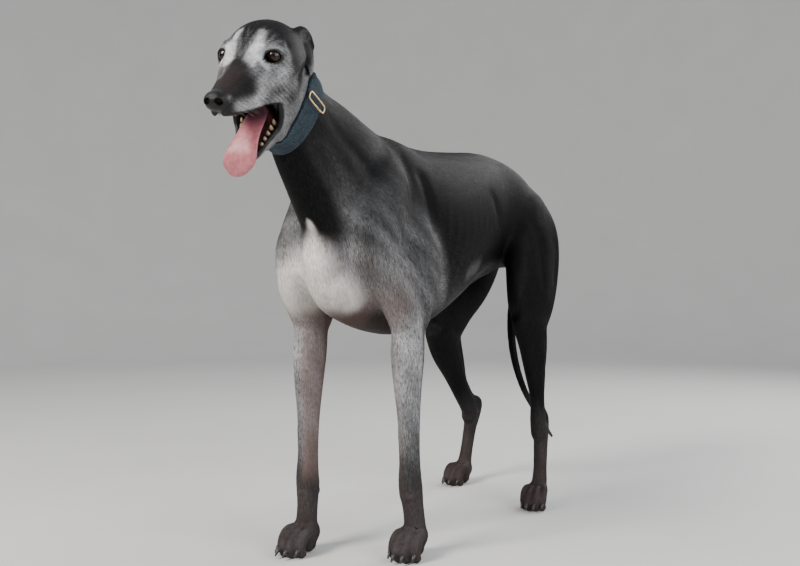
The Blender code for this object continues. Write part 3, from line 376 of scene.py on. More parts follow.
def jaw_matrix():
    """The lower jaw's frame, which is the head's frame when the mouth is shut."""
    hinge = Matrix.Translation(JAW_HINGE)
    return head_matrix() @ hinge @ Matrix.Rotation(math.radians(JAW_OPEN), 4, "X") @ hinge.inverted()


def eased(rows, steps):
    """The rows and those between them, on a curve through every row."""
    rows = np.array(rows, float)
    padded = np.vstack([2 * rows[0] - rows[1], rows, 2 * rows[-1] - rows[-2]])
    out = []
    for i in range(1, len(padded) - 2):
        a, b, c, d = padded[i - 1 : i + 3]
        for t in np.arange(steps) / steps:
            out.append(
                0.5 * (
                    2 * b + (c - a) * t + (2 * a - 5 * b + 4 * c - d) * t**2
                    + (3 * b - a - 3 * c + d) * t**3
                )
            )
    return np.array(out + [rows[-1]])


def skin_rings(rings):
    """(points, faces) of a closed tube through rings of equal size, with a point at each end."""
    rings = np.array(rings)
    count, size = rings.shape[:2]
    points = np.vstack([rings.reshape(-1, 3), rings[0].mean(0), rings[-1].mean(0)])
    faces = []
    for k in range(size):
        j = (k + 1) % size
        for r in range(count - 1):
            faces.append((r * size + k, r * size + j, (r + 1) * size + j, (r + 1) * size + k))
        faces.append((count * size, j, k))
        faces.append((count * size + 1, (count - 1) * size + k, (count - 1) * size + j))
    return points, faces


def rounded(centres, sides, ups, widths, heights, eggs, size):
    """Rings round a line of centres, with two smaller rings past each end to round it off."""
    angles = np.arange(size) * 2 * math.pi / size
    across, along = np.cos(angles), np.sin(angles)
    rings = [
        c + np.outer(across * (1 + e * along) * w, s) + np.outer(along * h, u)
        for c, s, u, w, h, e in zip(centres, sides, ups, widths, heights, eggs)
    ]
    ends = []
    for ring, step in ((rings[0], centres[0] - centres[1]), (rings[-1], centres[-1] - centres[-2])):
        middle = ring.mean(0)
        reach = 0.5 * min(np.linalg.norm(ring - middle, axis=1))
        push = step / np.linalg.norm(step) * reach
        ends.append([middle + (ring - middle) * math.cos(a) + push * math.sin(a) for a in (0.6, 1.15)])
    return ends[0][::-1] + rings + ends[1]


def upright_loft(rows, size=32, steps=4):
    """A loft of upright sections in the plane x = 0, from rows of (y, top, bottom, half width, egg)."""
    rows = eased(rows, steps)
    centres = np.stack([np.zeros(len(rows)), rows[:, 0], (rows[:, 1] + rows[:, 2]) / 2], 1)
    sides = np.tile((1.0, 0.0, 0.0), (len(rows), 1))
    ups = np.tile((0.0, 0.0, 1.0), (len(rows), 1))
    return skin_rings(
        rounded(centres, sides, ups, rows[:, 3], (rows[:, 1] - rows[:, 2]) / 2, rows[:, 4], size)[::-1]
    )


def limb_loft(rows, side=(1, 0, 0), size=20, steps=4):
    """A loft along a bent line. A row is (x, y, z, half width, half depth), or (x, y, z, radius)."""
    rows = [tuple(r) if len(r) == 5 else (*r, r[3]) for r in rows]
    rows = eased(rows, steps)
    centres = rows[:, :3]
    tangents = np.gradient(centres, axis=0)
    tangents /= np.linalg.norm(tangents, axis=1)[:, None]
    sides = np.array(side, float) - tangents * (tangents @ np.array(side, float))[:, None]
    sides /= np.linalg.norm(sides, axis=1)[:, None]
    ups = np.cross(tangents, sides)
    eggs = np.zeros(len(rows))
    return skin_rings(rounded(centres, sides, ups, rows[:, 3], rows[:, 4], eggs, size)[::-1])


def blob(centre, radii, turn=(0, 0, 0), size=16):
    """An ellipsoid with its turn in degrees about X, Y and Z."""
    mesh = bmesh.new()
    bmesh.ops.create_uvsphere(mesh, u_segments=size, v_segments=size // 2, radius=1.0)
    spin = Matrix.Rotation(math.radians(turn[2]), 4, "Z") @ Matrix.Rotation(math.radians(turn[1]), 4, "Y")
    spin = spin @ Matrix.Rotation(math.radians(turn[0]), 4, "X")
    mesh.transform(Matrix.Translation(centre) @ spin @ Matrix.Diagonal((*radii, 1)))
    points = np.array([v.co for v in mesh.verts])
    faces = [tuple(v.index for v in f.verts) for f in mesh.faces]
    mesh.free()
    return points, faces


def moved(shape, matrix):
    """A shape taken through a matrix."""
    m = np.array(matrix)
    return shape[0] @ m[:3, :3].T + m[:3, 3], shape[1]


def between(a, b, t, push=(0, 0, 0)):
    """A point t of the way from a to b, moved by push."""
    return tuple(p + (q - p) * t + r for p, q, r in zip(a, b, push))


def by(point, x=0.0, y=0.0, z=0.0):
    """A point moved by x, y and z."""
    return (point[0] + x, point[1] + y, point[2] + z)


def shifted(shapes):
    """Shapes measured from midway between the forefeet, in the model's frame."""
    return [moved(s, Matrix.Translation(place(0, 0, 0))) for s in shapes]


def trunk():
    """Rib cage, loin and croup, the neck down into the chest, the sheath and the tail."""
    sheath = [(0, 0.385, 0.474, 0.016), (0, 0.44, 0.492, 0.015), (0, 0.495, 0.502, 0.013)]
    return shifted(
        [upright_loft(TRUNK), limb_loft(NECK, size=28), limb_loft(sheath), limb_loft(TAIL_PATH, size=16)]
    )


def foreleg(side):
    """Shoulder blade, upper arm and forearm down to the wrist."""
    point, elbow, carpus = SHOULDER_POINT[side], ELBOW[side], CARPUS[side]
    top = (0.03 * side, elbow[1] * 0.3 + 0.02, WITHERS - 0.036)
    out = (0.022 * side, 0.01, 0)
    blade = [
        (*top, 0.018, 0.03),
        (*between(top, point, 0.35, out), 0.026, 0.056),
        (*between(top, point, 0.75, (0.008 * side, 0.008, 0)), 0.03, 0.052),
        (*by(point, y=0.01), 0.032, 0.042),
    ]
    arm = [
        (*by(point, y=0.015, z=0.004), 0.034, 0.04),
        (*between(point, elbow, 0.45, (0.008 * side, 0.014, 0.014)), 0.034, 0.05),
        (*between(point, elbow, 0.85, (0.003 * side, 0.01, 0.01)), 0.029, 0.042),
        (*by(elbow, y=0.006), 0.025, 0.034),
    ]
    triceps = [
        (*between(top, elbow, 0.34, (0.026 * side, 0.046, 0)), 0.022, 0.036),
        (*between(top, elbow, 0.66, (0.027 * side, 0.042, 0)), 0.027, 0.048),
        (*between(top, elbow, 0.96, (0.004 * side, 0.024, 0)), 0.021, 0.032),
    ]
    forearm = [
        (*between(elbow, carpus, -0.06, (0, 0.008, 0)), 0.025, 0.035),
        (*between(elbow, carpus, 0.12, (0, 0.002, 0)), 0.027, 0.037),
        (*between(elbow, carpus, 0.32), 0.0235, 0.032),
        (*between(elbow, carpus, 0.56), 0.019, 0.0255),
        (*between(elbow, carpus, 0.8), 0.0175, 0.0215),
        (*between(elbow, carpus, 0.95, (0, -0.001, 0)), 0.0205, 0.0225),
        (*between(elbow, carpus, 1.05), 0.0205, 0.0215),
    ]
    tip = blob(by(elbow, y=0.034, z=0.008), (0.013, 0.015, 0.02))
    return shifted([limb_loft(blade), limb_loft(arm), limb_loft(triceps), limb_loft(forearm), tip])


def hindleg(side):
    """Thigh, second thigh, tendon and hock down to the foot."""
    hock, heel, gaskin = HOCK[side], HEEL[side], GASKIN[side]
    x, y = HIND_PAW[side]
    foot = (x * 0.8 + hock[0] * 0.2, y + 0.02, 0.05)
    tendon = [
        (*by(gaskin[1][:3], y=0.034), 0.012, 0.018),
        (*between(gaskin[2][:3], heel, 0.1, (0, 0.018, 0)), 0.0085, 0.012),
        (*between(gaskin[3][:3], heel, 0.45, (0, 0.008, 0)), 0.0075, 0.0095),
        (*heel, 0.0105, 0.0115),
        (*between(heel, hock, 0.5, (0, 0.01, -0.012)), 0.012, 0.0125),
        (*between(hock, foot, 0.35, (0, 0.014, 0)), 0.011, 0.011),
    ]
    shank = [
        (*by(hock, y=0.01, z=0.012), 0.0165, 0.025),
        (*between(hock, foot, 0.12, (0, 0.009, 0)), 0.016, 0.023),
        (*between(hock, foot, 0.4, (0, 0.006, 0)), 0.015, 0.0185),
        (*between(hock, foot, 0.75, (0, 0.003, 0)), 0.015, 0.0165),
        (*foot, 0.0175, 0.016),
    ]
    return shifted(
        [limb_loft(THIGH[side], size=28), limb_loft(gaskin), limb_loft(tendon), limb_loft(shank)]
    )


def paw(side, kind):
    """A paw with four arched toes on their pads, and for a forefoot the pastern above it."""
    x, y = (FORE_PAW if kind == "fore" else HIND_PAW)[side]
    wide = 1.0 if kind == "fore" else 0.92
    shapes = [
        blob((0, 0.012, 0.034), (0.0235 * wide, 0.024, 0.024)),
        blob((0, 0.012, 0.011), (0.0165 * wide, 0.017, 0.0135)),
    ]
    for spread, reach in TOES:
        s = spread * wide
        toe = [
            (s * 0.7, 0.006, 0.038, 0.009, 0.01),
            (s * 0.96, -reach * 0.42, 0.0395, 0.0096 * wide, 0.0105),
            (s * 1.04, -reach * 0.82, 0.027, 0.0096 * wide, 0.01),
            (s * 1.04, -reach, 0.013, 0.0084 * wide, 0.0082),
        ]
        shapes += [
            limb_loft(toe, size=14),
            blob((s * 1.02, -reach * 0.8, 0.007), (0.0084 * wide, 0.012, 0.009)),
        ]
    shapes = [moved(s, paw_matrix(side, kind)) for s in shapes]
    if kind == "hind":
        return shifted(shapes)
    carpus = CARPUS[side]
    pastern = [
        (*by(carpus, z=0.014), 0.02, 0.021),
        (*carpus, 0.0215, 0.0215),
        (*between(carpus, (x, y + 0.012, 0.046), 0.5), 0.019, 0.019),
        (x, y + 0.01, 0.044, 0.0205, 0.0185),
    ]
    return shifted(
        shapes + [limb_loft(pastern), blob(by(carpus, y=0.02, z=-0.014), (0.011, 0.01, 0.014))]
    )


def paw_matrix(side, kind):
    """The paw's own frame, with its toes to -Y, in the frame between the forefeet."""
    x, y = (FORE_PAW if kind == "fore" else HIND_PAW)[side]
    return Matrix.Translation((x, y, 0)) @ Matrix.Rotation(math.radians(PAW_TURN[kind] * side), 4, "Z")


def claws(side, kind, size=6):
    """The four claws of a paw."""
    wide = 1.0 if kind == "fore" else 0.92
    out = []
    for spread, reach in TOES:
        s = spread * wide * 1.05
        rows = [
            (s, -reach + 0.004, 0.0165, 0.0042), (s, -reach - 0.0065, 0.0145, 0.0036),
            (s, -reach - 0.0135, 0.006, 0.0012),
        ]
        out.append(moved(spike(rows, size), Matrix.Translation(place(0, 0, 0)) @ paw_matrix(side, kind)))
    return out


def cranium():
    """Skull, cheeks and muzzle with the upper lips and eyelids, in the head's frame."""
    shapes = [upright_loft(SKULL, size=28), blob(NOSE_AT, NOSE_RADII, turn=(-12, 0, 0))]
    shapes.append(blob((0, 0.062, -0.09), (0.032, 0.032, 0.03)))
    for s in (1, -1):
        cheekbone = [
            (0.029 * s, -0.018, -0.025, 0.008),
            (0.041 * s, 0.01, -0.023, 0.009),
            (0.048 * s, 0.038, -0.017, 0.01),
            (0.044 * s, 0.078, -0.008, 0.009),
        ]
        brow = [
            (0.018 * s, -0.012, 0.0115, 0.0065),
            (0.031 * s, 0.003, 0.0145, 0.007),
            (0.042 * s, 0.022, 0.012, 0.0075),
        ]
        shapes += [
            limb_loft(cheekbone), limb_loft(brow), limb_loft([(x * s, *rest) for x, *rest in UPPER_LIP]),
        ]
        masseter = [
            (0.034 * s, 0.048, -0.018, 0.012, 0.034),
            (0.0365 * s, 0.052, -0.048, 0.0125, 0.035),
            (0.032 * s, 0.058, -0.08, 0.0125, 0.031),
            (0.023 * s, 0.064, -0.104, 0.011, 0.022),
        ]
        shapes.append(limb_loft(masseter))
        shapes.append(moved(blob((0, 0, 0), (EYE_RADIUS + LID_THICK,) * 3), eye_matrix(s)))
        shapes.append(blob((0.046 * s, 0.016, -0.004), (0.0075, 0.013, 0.015)))
    return shapes


def eye_opening():
    """The cutter between an eye's lids, which looks along +Z of the eye's own frame."""
    wide, high = EYE_OPENING
    angles = [k * math.pi / 8 for k in range(16)]
    outline = [(wide * math.cos(a), high * math.sin(a) * (1 - 0.25 * math.cos(a) ** 2)) for a in angles]
    return skin_rings([[(x, y, z) for x, y in outline] for z in (0.0, 0.03)])


def eye_matrix(side):
    """An eye's own frame, looking along +Z with Y up, in the head's frame."""
    look = Vector((0.32 * side, -0.94, 0.1)).normalized()
    across = Vector((0, 0, 1)).cross(look).normalized()
    frame = Matrix((across, look.cross(across), look)).transposed().to_4x4()
    return Matrix.Translation((EYE_AT[0] * side, EYE_AT[1], EYE_AT[2])) @ frame


def mandible():
    """The lower jaw with its lips, in its own frame."""
    shapes = [upright_loft(JAW, size=24)]
    for s in (1, -1):
        shapes.append(limb_loft([(x * s, *rest) for x, *rest in LOWER_LIP]))
        web = [
            (0.029 * s, 0.026, -0.066, 0.008, 0.015),
            (0.0285 * s, 0.01, -0.076, 0.0075, 0.0145),
            (0.0265 * s, -0.006, -0.083, 0.0065, 0.012),
            (0.0215 * s, -0.024, -0.084, 0.006, 0.009),
            (0.016 * s, -0.04, -0.084, 0.005, 0.007),
        ]
        under = [
            (0.027 * s, 0.05, -0.082, 0.011, 0.018),
            (0.027 * s, 0.03, -0.096, 0.0105, 0.018),
            (0.026 * s, 0.01, -0.098, 0.0095, 0.015),
            (0.0215 * s, -0.012, -0.09, 0.008, 0.0095),
        ]
        shapes += [limb_loft(web), limb_loft(under)]
    return shapes


def spike(rows, size=6):
    """A plain pointed loft for a claw or tooth, from rows of (x, y, z, radius)."""
    points = np.array([r[:3] for r in rows], float)
    run = Vector(points[-1] - points[0]).normalized()
    one = run.orthogonal().normalized()
    two = run.cross(one)
    turns = [k * 2 * math.pi / size for k in range(size)]
    round_ = np.array([one * math.cos(t) + two * math.sin(t) for t in turns])
    return skin_rings([p + round_ * r[3] for p, r in zip(points, rows)])


def tooth(x, y, z, radius, reach, size=6):
    """A tooth whose root is at a point and whose tip is reach above it, or below for reach under 0."""
    root = (x, y, z - 0.25 * reach, radius)
    middle = (x, y, z + 0.45 * reach, radius * 0.8)
    return spike([root, middle, (x, y + 0.1 * abs(reach), z + reach, radius * 0.3)], size)


def ear(side):
    """A folded ear that rises from the skull and hangs back beside the nape, with its rolled rim."""
    rows = [(x * side, *rest) for x, *rest in EAR]
    rim = [(x * side, *rest) for x, *rest in EAR_RIM]
    shapes = [limb_loft(rows, size=16), limb_loft(rim, size=10)]
    return [moved(shape, Matrix.Translation(by((0, 0, 0), *EAR_SHIFT[side]))) for shape in shapes]


def ear_cup(side):
    """The hollow of an ear, open to the outside and up."""
    hollow = blob((0.0475 * side, 0.096, 0.017), (0.005, 0.011, 0.0075), turn=(-20, 0, 0))
    return moved(hollow, Matrix.Translation(by((0, 0, 0), *EAR_SHIFT[side])))


def tongue():
    """The tongue, which lies along the jaw and hangs over the chin, in the jaw's frame."""
    rows = eased(TONGUE, 2)
    rings = []
    for k, (x, y, z, half, thick) in enumerate(rows):
        ahead, behind = rows[min(k + 1, len(rows) - 1)], rows[max(k - 1, 0)]
        run = np.array((0, *(ahead - behind)[1:3]))
        up = np.cross(run / np.linalg.norm(run), (1.0, 0.0, 0.0))
        angles = np.arange(14) * math.pi / 7
        groove = 0.35 * thick * np.exp(-((np.cos(angles) / 0.25) ** 2)) * (np.sin(angles) > 0)
        lift = np.sin(angles) * thick - groove
        rings.append(
            np.array((x, y, z)) + np.outer(np.cos(angles) * half, (1, 0, 0)) + np.outer(lift, up)
        )
    return skin_rings(rings)


def joined(shapes):
    """One (points, faces) of several shapes."""
    points, faces, base = [], [], 0
    for p, f in shapes:
        points.append(p)
        faces += [tuple(i + base for i in face) for face in f]
        base += len(p)
    return np.vstack(points), faces


def mesh_object(name, shapes):
    """A new object of these shapes, in the scene, with its faces out."""
    points, faces = joined(shapes)
    mesh = bpy.data.meshes.new(name)
    mesh.from_pydata([tuple(p) for p in points], [], faces)
    edit = bmesh.new()
    edit.from_mesh(mesh)
    bmesh.ops.recalc_face_normals(edit, faces=edit.faces)
    edit.to_mesh(mesh)
    edit.free()
    obj = bpy.data.objects.new(name, mesh)
    bpy.context.scene.collection.objects.link(obj)
    return obj


def baked(obj):
    """The object with its modifiers applied."""
    bpy.context.view_layer.update()
    mesh = bpy.data.meshes.new_from_object(obj.evaluated_get(bpy.context.evaluated_depsgraph_get()))
    obj.modifiers.clear()
    obj.data = mesh
    return obj


def fused(name, shapes, voxel):
    """The outer skin of several shapes, as one mesh of even squares."""
    obj = mesh_object(name, shapes)
    remesh = obj.modifiers.new("Remesh", "REMESH")
    remesh.mode = "VOXEL"
    remesh.voxel_size = voxel
    return baked(obj)


def carved(obj, other, operation="DIFFERENCE"):
    """The object after a Boolean with another, which is removed."""
    cut = obj.modifiers.new("Boolean", "BOOLEAN")
    cut.operation = operation
    cut.object = other
    cut.solver = "MANIFOLD"
    baked(obj)
    bpy.data.objects.remove(other, do_unlink=True)
    return obj


def cut_away(obj, shape, matrix=Matrix()):
    """Takes a shape, moved through a matrix, away from an object."""
    carved(obj, mesh_object("cutter", [moved(shape, matrix)]))


def values_of(elements, name, width, kind=float):
    """What a mesh keeps for each of its vertices, edges, loops or triangles, a row for each."""
    values = np.empty(len(elements) * width, kind)
    elements.foreach_get(name, values)
    return values.reshape(-1, width)


def coordinates(mesh):
    """The places of a mesh's vertices."""
    return values_of(mesh.vertices, "co", 3)


def relax(obj, rounds, share):
    """Draws each vertex towards the mean of its neighbours, as much as share(points) says."""
    mesh = obj.data
    points = coordinates(mesh)
    a, b = values_of(mesh.edges, "vertices", 2, np.int64).T
    count = np.bincount(np.concatenate([a, b]), minlength=len(points))[:, None]
    weight = share(points)[:, None]
    for _ in range(rounds):
        total = np.zeros_like(points)
        for k in range(3):
            total[:, k] = np.bincount(a, points[b, k], len(points))
            total[:, k] += np.bincount(b, points[a, k], len(points))
        points += 0.5 * weight * (total / count - points)
    mesh.vertices.foreach_set("co", points.ravel())
    mesh.update()


def soft_share(points):
    """How far the body is softened: full on the trunk, little on the lower legs and tail."""
    low = np.clip((points[:, 2] - 0.3) / 0.16, 0, 1)
    rear = np.clip((points[:, 1] + ORIGIN_Y - 0.655) / 0.015, 0, 1)
    return (0.06 + 0.94 * low * low * (3 - 2 * low)) * (1 - 0.9 * rear)


def calm_share(points):
    """How far the head is softened: full on the cheeks and neck, little on the face."""
    return 0.22 + 0.78 * np.clip((in_head(points)[:, 1] - 0.012) / 0.02, 0, 1)


def body_skin(voxel, rounds):
    """The whole dog but its head, as one mesh."""
    shapes = trunk()
    for side in (1, -1):
        shapes += foreleg(side) + hindleg(side) + paw(side, "fore") + paw(side, "hind")
    obj = fused("body", shapes, voxel)
    relax(obj, rounds, soft_share)
    return obj


def head_skin(voxel, rounds, more=()):
    """The head and open jaw with the top of the neck and any more shapes of the head's frame, as one mesh."""
    shapes = [moved(s, head_matrix()) for s in (*cranium(), *more)]
    shapes += [moved(s, jaw_matrix()) for s in mandible()] + shifted([limb_loft(NECK[2:], size=28)])
    obj = fused("head", shapes, voxel)
    relax(obj, rounds, calm_share)
    return obj


def teeth(rows, reach, radius, size=6):
    """A pair of teeth at each (x, y, z)."""
    return [tooth(x * s, y, z, radius, reach, size) for s in (1, -1) for x, y, z in rows]


def measured_from_feet(points):
    """Points of the model's frame, measured from midway between the forefeet."""
    return points - np.array(place(0, 0, 0))


def in_frame(points, matrix):
    """Points of the model's frame, in another."""
    frame = np.array(matrix.inverted())
    return points @ frame[:3, :3].T + frame[:3, 3]


def in_head(points):
    """Points of the model's frame, in the head's."""
    return in_frame(points, head_matrix())


def in_jaw(points):
    """Points of the model's frame, in the lower jaw's."""
    return in_frame(points, jaw_matrix())


def ramp(values, start, end):
    """0 before start and 1 after end, with a soft step between; start may be above end."""
    t = np.clip((values - start) / (end - start), 0, 1)
    return t * t * (3 - 2 * t)


def line_distance(points, line):
    """Each point's distance from a bent line."""
    best = np.full(len(points), np.inf)
    for a, b in zip(line[:-1], line[1:]):
        a, b = np.array(a), np.array(b)
        run = b - a
        t = np.clip((points - a) @ run / (run @ run), 0, 1)
        best = np.minimum(best, np.linalg.norm(points - a - t[:, None] * run, axis=1))
    return best


def both_sides(lines):
    """Lines of the left side with their mirror images."""
    return [([(x * s, y, z) for x, y, z in line], *rest) for s in (1, -1) for line, *rest in lines]


def forelimb_lines(side):
    """Creases and ridges of a foreleg: (line, width, height), with height below 0 for a crease."""
    elbow, carpus = ELBOW[side], CARPUS[side]
    x, y = FORE_PAW[side]

    def along(steps, push):
        return [between(elbow, carpus, t, push) for t in steps]

    out = []
    for s in (1, -1):
        out.append((along((0.2, 0.5, 0.8, 0.95), (0.013 * s, 0.017, 0)), 0.0055, -0.0016))
        out.append((along((0.05, 0.3, 0.6), (0.013 * s, -0.016, 0)), 0.007, -0.0014))
        pastern = [by(carpus, 0.01 * s, 0.018, -0.004), (x + 0.01 * s, y + 0.03, 0.05)]
        out.append((pastern, 0.005, -0.0014))
    steps = (0.15, 0.4, 0.65, 0.9)
    vein = [between(elbow, carpus, t, (-0.01 * side, -0.02 + 0.006 * t, 0)) for t in steps]
    out.append((vein, 0.003, 0.0011))
    out.append(([by(carpus, -0.014, -0.02, -0.004), by(carpus, 0.014, -0.02, -0.004)], 0.005, -0.0012))
    return out


def paw_lines(side, kind):
    """The clefts between the toes of a paw."""
    wide = 1.0 if kind == "fore" else 0.92
    out = []
    for (one, near), (two, far) in zip(TOES[:-1], TOES[1:]):
        s, reach = wide * (one + two) / 2, (near + far) / 2
        cleft = [(s * 0.72, -0.002, 0.05), (s, -reach * 0.5, 0.05), (s * 1.04, -reach * 0.88, 0.036)]
        cleft.append((s * 1.05, -reach, 0.012))
        out.append(([tuple(paw_matrix(side, kind) @ Vector(p)) for p in cleft], 0.0042, -0.004))
    return out


def hindlimb_lines(side):
    """Creases and ridges of a hind leg."""
    gaskin, heel, hock = GASKIN[side], HEEL[side], HOCK[side]
    out = []
    for s in (1, -1):
        front = [by(gaskin[k][:3], 0.016 * s, 0.01 + 0.006 * k, 0) for k in (1, 2, 3)]
        out.append((front + [by(heel, 0.011 * s, -0.014, -0.004)], 0.0085, -0.003))
        out.append(
            ([by(hock, 0.015 * s, 0.02, -0.004), by(hock, 0.012 * s, 0.008, -0.06)], 0.005, -0.0016)
        )
    vein = [by(gaskin[2][:3], 0.021 * side, -0.022, 0), by(gaskin[2][:3], 0.022 * side, 0.004, 0.03)]
    out.append((vein + [by(gaskin[1][:3], 0.027 * side, 0.036, 0.004)], 0.0032, 0.0014))
    return out


def sculpted(obj):
    """Raises and sinks the skin along its normals where muscles, veins, bones and folds show."""
    points, normals = coordinates(obj.data), vertex_normals(obj.data)
    lift = -COAT_DEPTH * (1 - 0.5 * ramp(before_collar(points), 0.0, 0.03))
    lines = both_sides(MUSCLES) + MIDDLE_LINES
    for side in (1, -1):
        lines += forelimb_lines(side) + hindlimb_lines(side)
        lines += paw_lines(side, "fore") + paw_lines(side, "hind")
    for rib in range(RIBS):
        top = (0.08, 0.15 + 0.03 * rib, 0.64 - 0.004 * rib)
        low = (0.092, 0.12 + 0.033 * rib, 0.455 + 0.009 * rib)
        lines += both_sides([([top, by(between(top, low, 0.5), 0.02, 0.004, 0), low], 0.0075, 0.0009)])
    for here_points, some in (
        (measured_from_feet(points), lines),
        (in_head(points), both_sides(FACE_LINES)),
        (in_jaw(points), both_sides(JAW_LINES)),
    ):
        for line, width, height in some:
            apply_line(lift, here_points, line, width, height)
    points += normals * lift[:, None]
    obj.data.vertices.foreach_set("co", points.ravel())
    obj.data.update()


def apply_line(lift, points, line, width, height):
    """Adds a soft ridge or crease along a line to the lift of the points near it."""
    line = np.array(line)
    low, high = line.min(0) - 3 * width, line.max(0) + 3 * width
    near = np.flatnonzero(((points > low) & (points < high)).all(1))
    if len(near):
        lift[near] += height * np.exp(-((line_distance(points[near], line) / width) ** 2))


def skin_mesh():
    """The whole skin as one closed mesh, with eye sockets, nostrils and ear cups, and the collar's reach."""
    body = body_skin(BODY_VOXEL, 34)
    head = head_skin(HEAD_VOXEL, 20, ear(1) + ear(-1))
    sculpted(body)
    sculpted(head)
    axis = Vector(COLLAR_AXIS).normalized()
    for obj, way in ((body, 1), (head, -1)):
        middle = Matrix.Translation(place(*COLLAR_AT) + axis * (way * (0.5 + SEAM_LAP)))
        cut_away(obj, cube(1.0), middle @ axis.to_track_quat("Z", "Y").to_matrix().to_4x4())
    skin = carved(body, head, "UNION")
    for s in (1, -1):
        at = head_matrix() @ eye_matrix(s)
        cut_away(skin, blob((0, 0, 0), (EYE_RADIUS + 0.0002,) * 3, size=48), at)
        cut_away(skin, eye_opening(), at)
        nostril = ((0.0085 * s, -0.113, -0.0405), (0.0058, 0.0078, 0.0042), (0, 30 * s, 0), 24)
        cut_away(skin, blob(*nostril), head_matrix())
        cut_away(skin, ear_cup(s), head_matrix())
    radii = collar_surface(tree_of(skin))
    carved(skin, band("room", radii, 0.0, 1.0, 0.0, COLLAR_BASE + COLLAR_BAND + 0.0012))
    cut_away(skin, cube(1.0), Matrix.Translation((0, 0, -0.05)) @ Matrix.Diagonal((3, 3, 0.1, 1)))
    thinner = skin.modifiers.new("Thinner", "DECIMATE")
    thinner.ratio = SKIN_SHARE_KEPT
    return baked(skin), radii


def before_collar(points):
    """How far points of the model's frame lie on the head's side of the collar's middle, in metres."""
    return (points - np.array(place(*COLLAR_AT))) @ np.array(Vector(COLLAR_AXIS).normalized())


def body_grey(points):
    """How pale the coat of the body is, from 0 to 1, with a painted highlight down each thigh."""
    x, y, z = measured_from_feet(points).T
    side = np.abs(x)
    near = np.stack([side, y, z], 1)
    edge = 0.06 + (0.626 - z) * 0.7
    shoulder = (
        0.045 + 0.12 * ramp(z, 0.64, 0.48) + 0.08 * ramp(y, 0.05, -0.09)
    ) * ramp(y - edge, 0.016, -0.026)
    shoulder *= (0.25 + 0.75 * ramp(z, 0.66, 0.55)) * ramp(z, 0.72, 0.64) * ramp(side, 0.01, 0.05)
    shoulder *= 0.82 + 0.34 * np.sin(near @ (70.0, 45.0, 58.0)) * np.sin(near @ (-42.0, 64.0, 83.0) + 1.0)
    neck = 0.018 * ramp(y, 0.02, -0.06) * ramp(z, 0.7, 0.56)
    neck += 0.07 * ramp(line_distance(near, NECK_STREAK), 0.028, 0.006)
    belly = 0.03 * ramp(z, 0.5, 0.42) * ramp(y, 0.44, 0.3) * ramp(y, 0.02, 0.1)
    groin = 0.09 * ramp(line_distance(near, [(0.076, 0.262, 0.488), (0.072, 0.3, 0.5)]), 0.03, 0.002)
    # Painted highlight: a few pale hairs along a line down the thigh's muscle.
    thigh_highlight = 0.012 * ramp(line_distance(near, THIGH_HIGHLIGHT), 0.036, 0.006)
    grey = 0.002 + np.maximum.reduce([shoulder, neck, belly, groin, thigh_highlight])
    stripe = line_distance(measured_from_feet(points), THROAT_STRIPE)
    grey *= 1 - 0.95 * ramp(stripe, 0.05, 0.022) * ramp(z, 0.5, 0.55)
    fore = ramp(z, 0.44, 0.37) * ramp(y, 0.16, 0.1)
    back = ramp(y - fore_line(x, z), 0.002, 0.02)
    front = 0.24 * ramp(z, 0.12, 0.26) + 0.14 * ramp(z, 0.26, 0.38)
    leg = (0.045 + front) * (1 - 0.8 * back)
    grey = grey * (1 - fore) + fore * leg
    grey *= 1 - 0.93 * ramp(side, 0.062, 0.046) * ramp(z, 0.44, 0.405) * ramp(y, -0.075, -0.045)
    hind = ramp(z, 0.24, 0.17) * ramp(y, 0.3, 0.36)
    return grey * (1 - hind) + hind * 0.032


def fore_line(x, z):
    """How far back the middle of a foreleg is at a height."""
    heights = (0.0, CARPUS[1][2], ELBOW[1][2])
    left = np.interp(z, heights, (FORE_PAW[1][1], CARPUS[1][1], ELBOW[1][1]))
    right = np.interp(z, heights, (FORE_PAW[-1][1], CARPUS[-1][1], ELBOW[-1][1]))
    return np.where(x > 0, left, right)


def tint_share(points):
    """How far the pink skin or brown hair shows, from 0 to 1."""
    x, y, z = measured_from_feet(points).T
    ahead = ramp(before_collar(points), 0.0, 0.02)
    middle = np.where(x > 0, CARPUS[1][0], CARPUS[-1][0])
    inner = ramp((middle - x) * np.sign(x), -0.004, 0.01)
    legs = inner * ramp(z, 0.1, 0.16) * ramp(z, 0.47, 0.4) * ramp(y, 0.1, 0.04) * np.where(
        x < 0, 0.85, 0.25,
    )
    breast = (
        0.16 + 0.44 * ramp(z, 0.475, 0.425)
    ) * ramp(z, 0.53, 0.47) * ramp(z, 0.36, 0.4) * ramp(y, 0.02, -0.03)
    low = 0.16 * ramp(z, 0.16, 0.1) + 0.07 * ramp(z, 0.22, 0.16) * ramp(y, 0.3, 0.36)
    head = in_head(points)
    muzzle = 0.13 * ramp(head[:, 1], -0.03, -0.055) * ramp(np.abs(head[:, 0]), 0.024, 0.01)
    return np.maximum.reduce([legs, breast, low]) * (1 - ahead) + muzzle * ahead


def blaze_share(points):
    """How white the chest is."""
    near = measured_from_feet(points)
    best = np.zeros(len(near))
    for x, y, z, radius in eased(BLAZE, 4):
        best = np.maximum(best, ramp(np.linalg.norm(near - (x, y, z), axis=1) / radius, 1.6, 0.45))
    return best * ramp(near[:, 1], 0.06, -0.01) * ramp(near[:, 2], 0.398, 0.43)


